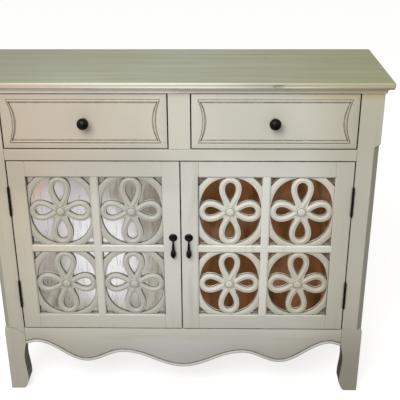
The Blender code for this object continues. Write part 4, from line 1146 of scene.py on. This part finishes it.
def make_floor():
    """Pale floor; what the mirrors show of the room's floor lies in it for glossy rays only."""
    made = bpy.data.materials.new("pale_floor")
    made.use_nodes = True
    tree = made.node_tree
    tree.nodes.clear()
    place = object_point(tree)
    x, y = axis_value(tree, "X"), axis_value(tree, "Y")
    grain = noise(tree, 2.2, 5, (9, 0.8, 1), roughness=0.6, distortion=0.6)
    glare = ranged(tree, noise(tree, 3.5, 3, place=place), 0.52, 0.74, 0.35)
    planks = painted(tree, tone(118, 76, 44), (ranged(tree, grain, 0.35, 0.68), tone(70, 45, 26)),
                     (glare, tone(165, 140, 118)))
    pink = ranged(tree, off_centre(tree, (-0.6, -1.35, 0), (0.22, 0.34, 0)), 1.3, 0.5, 0.8)
    sunlit = faded(tree, ("X", -0.64, -0.76, 0.7), ("Y", -1.15, -1.4))
    # the window's bright patch leans to the left as it runs out
    lean = maths(tree, "SUBTRACT", x, times(tree, maths(tree, "ADD", y, 0.97), 0.17))
    leaning = node(tree, "CombineXYZ", {"X": lean, "Y": y}).outputs[0]
    away = off_centre(tree, (-0.345, -0.97, 0), (0.155, 0.42, 0), leaning)
    greys = painted(tree, tone(196, 190, 180), (ranged(tree, grain, 0.3, 0.7), tone(140, 130, 118)),
                    (pink, tone(228, 221, 226)), (sunlit, tone(216, 186, 166)),
                    (ranged(tree, away, 1.35, 0.55), tone(250, 250, 252)))
    # a painted reflection: the room's floor, with painted sunlight and the window's bright patch, glows for
    # glossy rays alone, so only the mirrors show it
    room = mixed(tree, ranged(tree, x, -0.03, 0.03), greys, planks)
    mirrored = node(tree, "Emission", {"Color": room, "Strength": 1.0}).outputs[0]
    matt = node(tree, "BsdfDiffuse", {"Color": (0.42, 0.41, 0.4)}).outputs[0]
    glow = node(tree, "Emission", {"Strength": 0.75}).outputs[0]
    seen = node(tree, "AddShader", {0: matt, 1: glow}).outputs[0]
    path = node(tree, "LightPath").outputs
    look = node(tree, "MixShader", {0: path["Is Camera Ray"], 1: matt, 2: seen}).outputs[0]
    look = node(tree, "MixShader", {0: path["Is Glossy Ray"], 1: look, 2: mirrored}).outputs[0]
    node(tree, "OutputMaterial", {"Surface": look})
    mesh = bpy.data.meshes.new("floor")
    mesh.from_pydata([(-8, -8, 0), (8, -8, 0), (8, 8, 0), (-8, 8, 0)], [], [(0, 1, 2, 3)])
    mesh.materials.append(made)
    shown("floor", mesh)


def make_room_light():
    """An even white room, and one large soft lamp up to the left of the front."""
    world = bpy.data.worlds.new("soft_room")
    scene.world = world
    world.use_nodes = True
    tree = world.node_tree
    path = node(tree, "LightPath").outputs
    seen = maths(tree, "MAXIMUM", path["Is Camera Ray"], path["Is Transmission Ray"])
    background = tree.nodes["Background"].inputs
    give(tree, background["Color"], (1, 1, 1))
    give(tree, background["Strength"], ranged(tree, seen, 0, 1, 0.55, 1.0))
    lamp = bpy.data.lights.new("window_lamp", "AREA")
    lamp.shape = "DISK"
    lamp.size = 1.8
    lamp.energy = 66
    place = Vector((-0.7, -2.2, 2.5))
    aim = (Vector((0, 0, 0.5)) - place).to_track_quat("-Z", "Y").to_matrix().to_4x4()
    shown("window_lamp", lamp).matrix_world = Matrix.Translation(place) @ aim


def place_camera():
    """The photograph's own view."""
    yaw, pitch, roll = (math.radians(angle) for angle in (-1.1102, 24.5058, -0.2623))
    lens = bpy.data.cameras.new("photo_view")
    lens.lens = 68.436
    lens.sensor_width = 36
    lens.sensor_fit = "HORIZONTAL"
    scene.camera = shown("photo_view", lens)
    turn = Matrix()
    for angle, axis in ((-yaw, "Z"), (math.pi / 2 - pitch, "X"), (roll, "Z")):
        turn = turn @ Matrix.Rotation(angle, 4, axis)
    scene.camera.matrix_world = Matrix.Translation((0.08464, -1.91508, 1.40805)) @ turn


make_floor()
make_room_light()
place_camera()
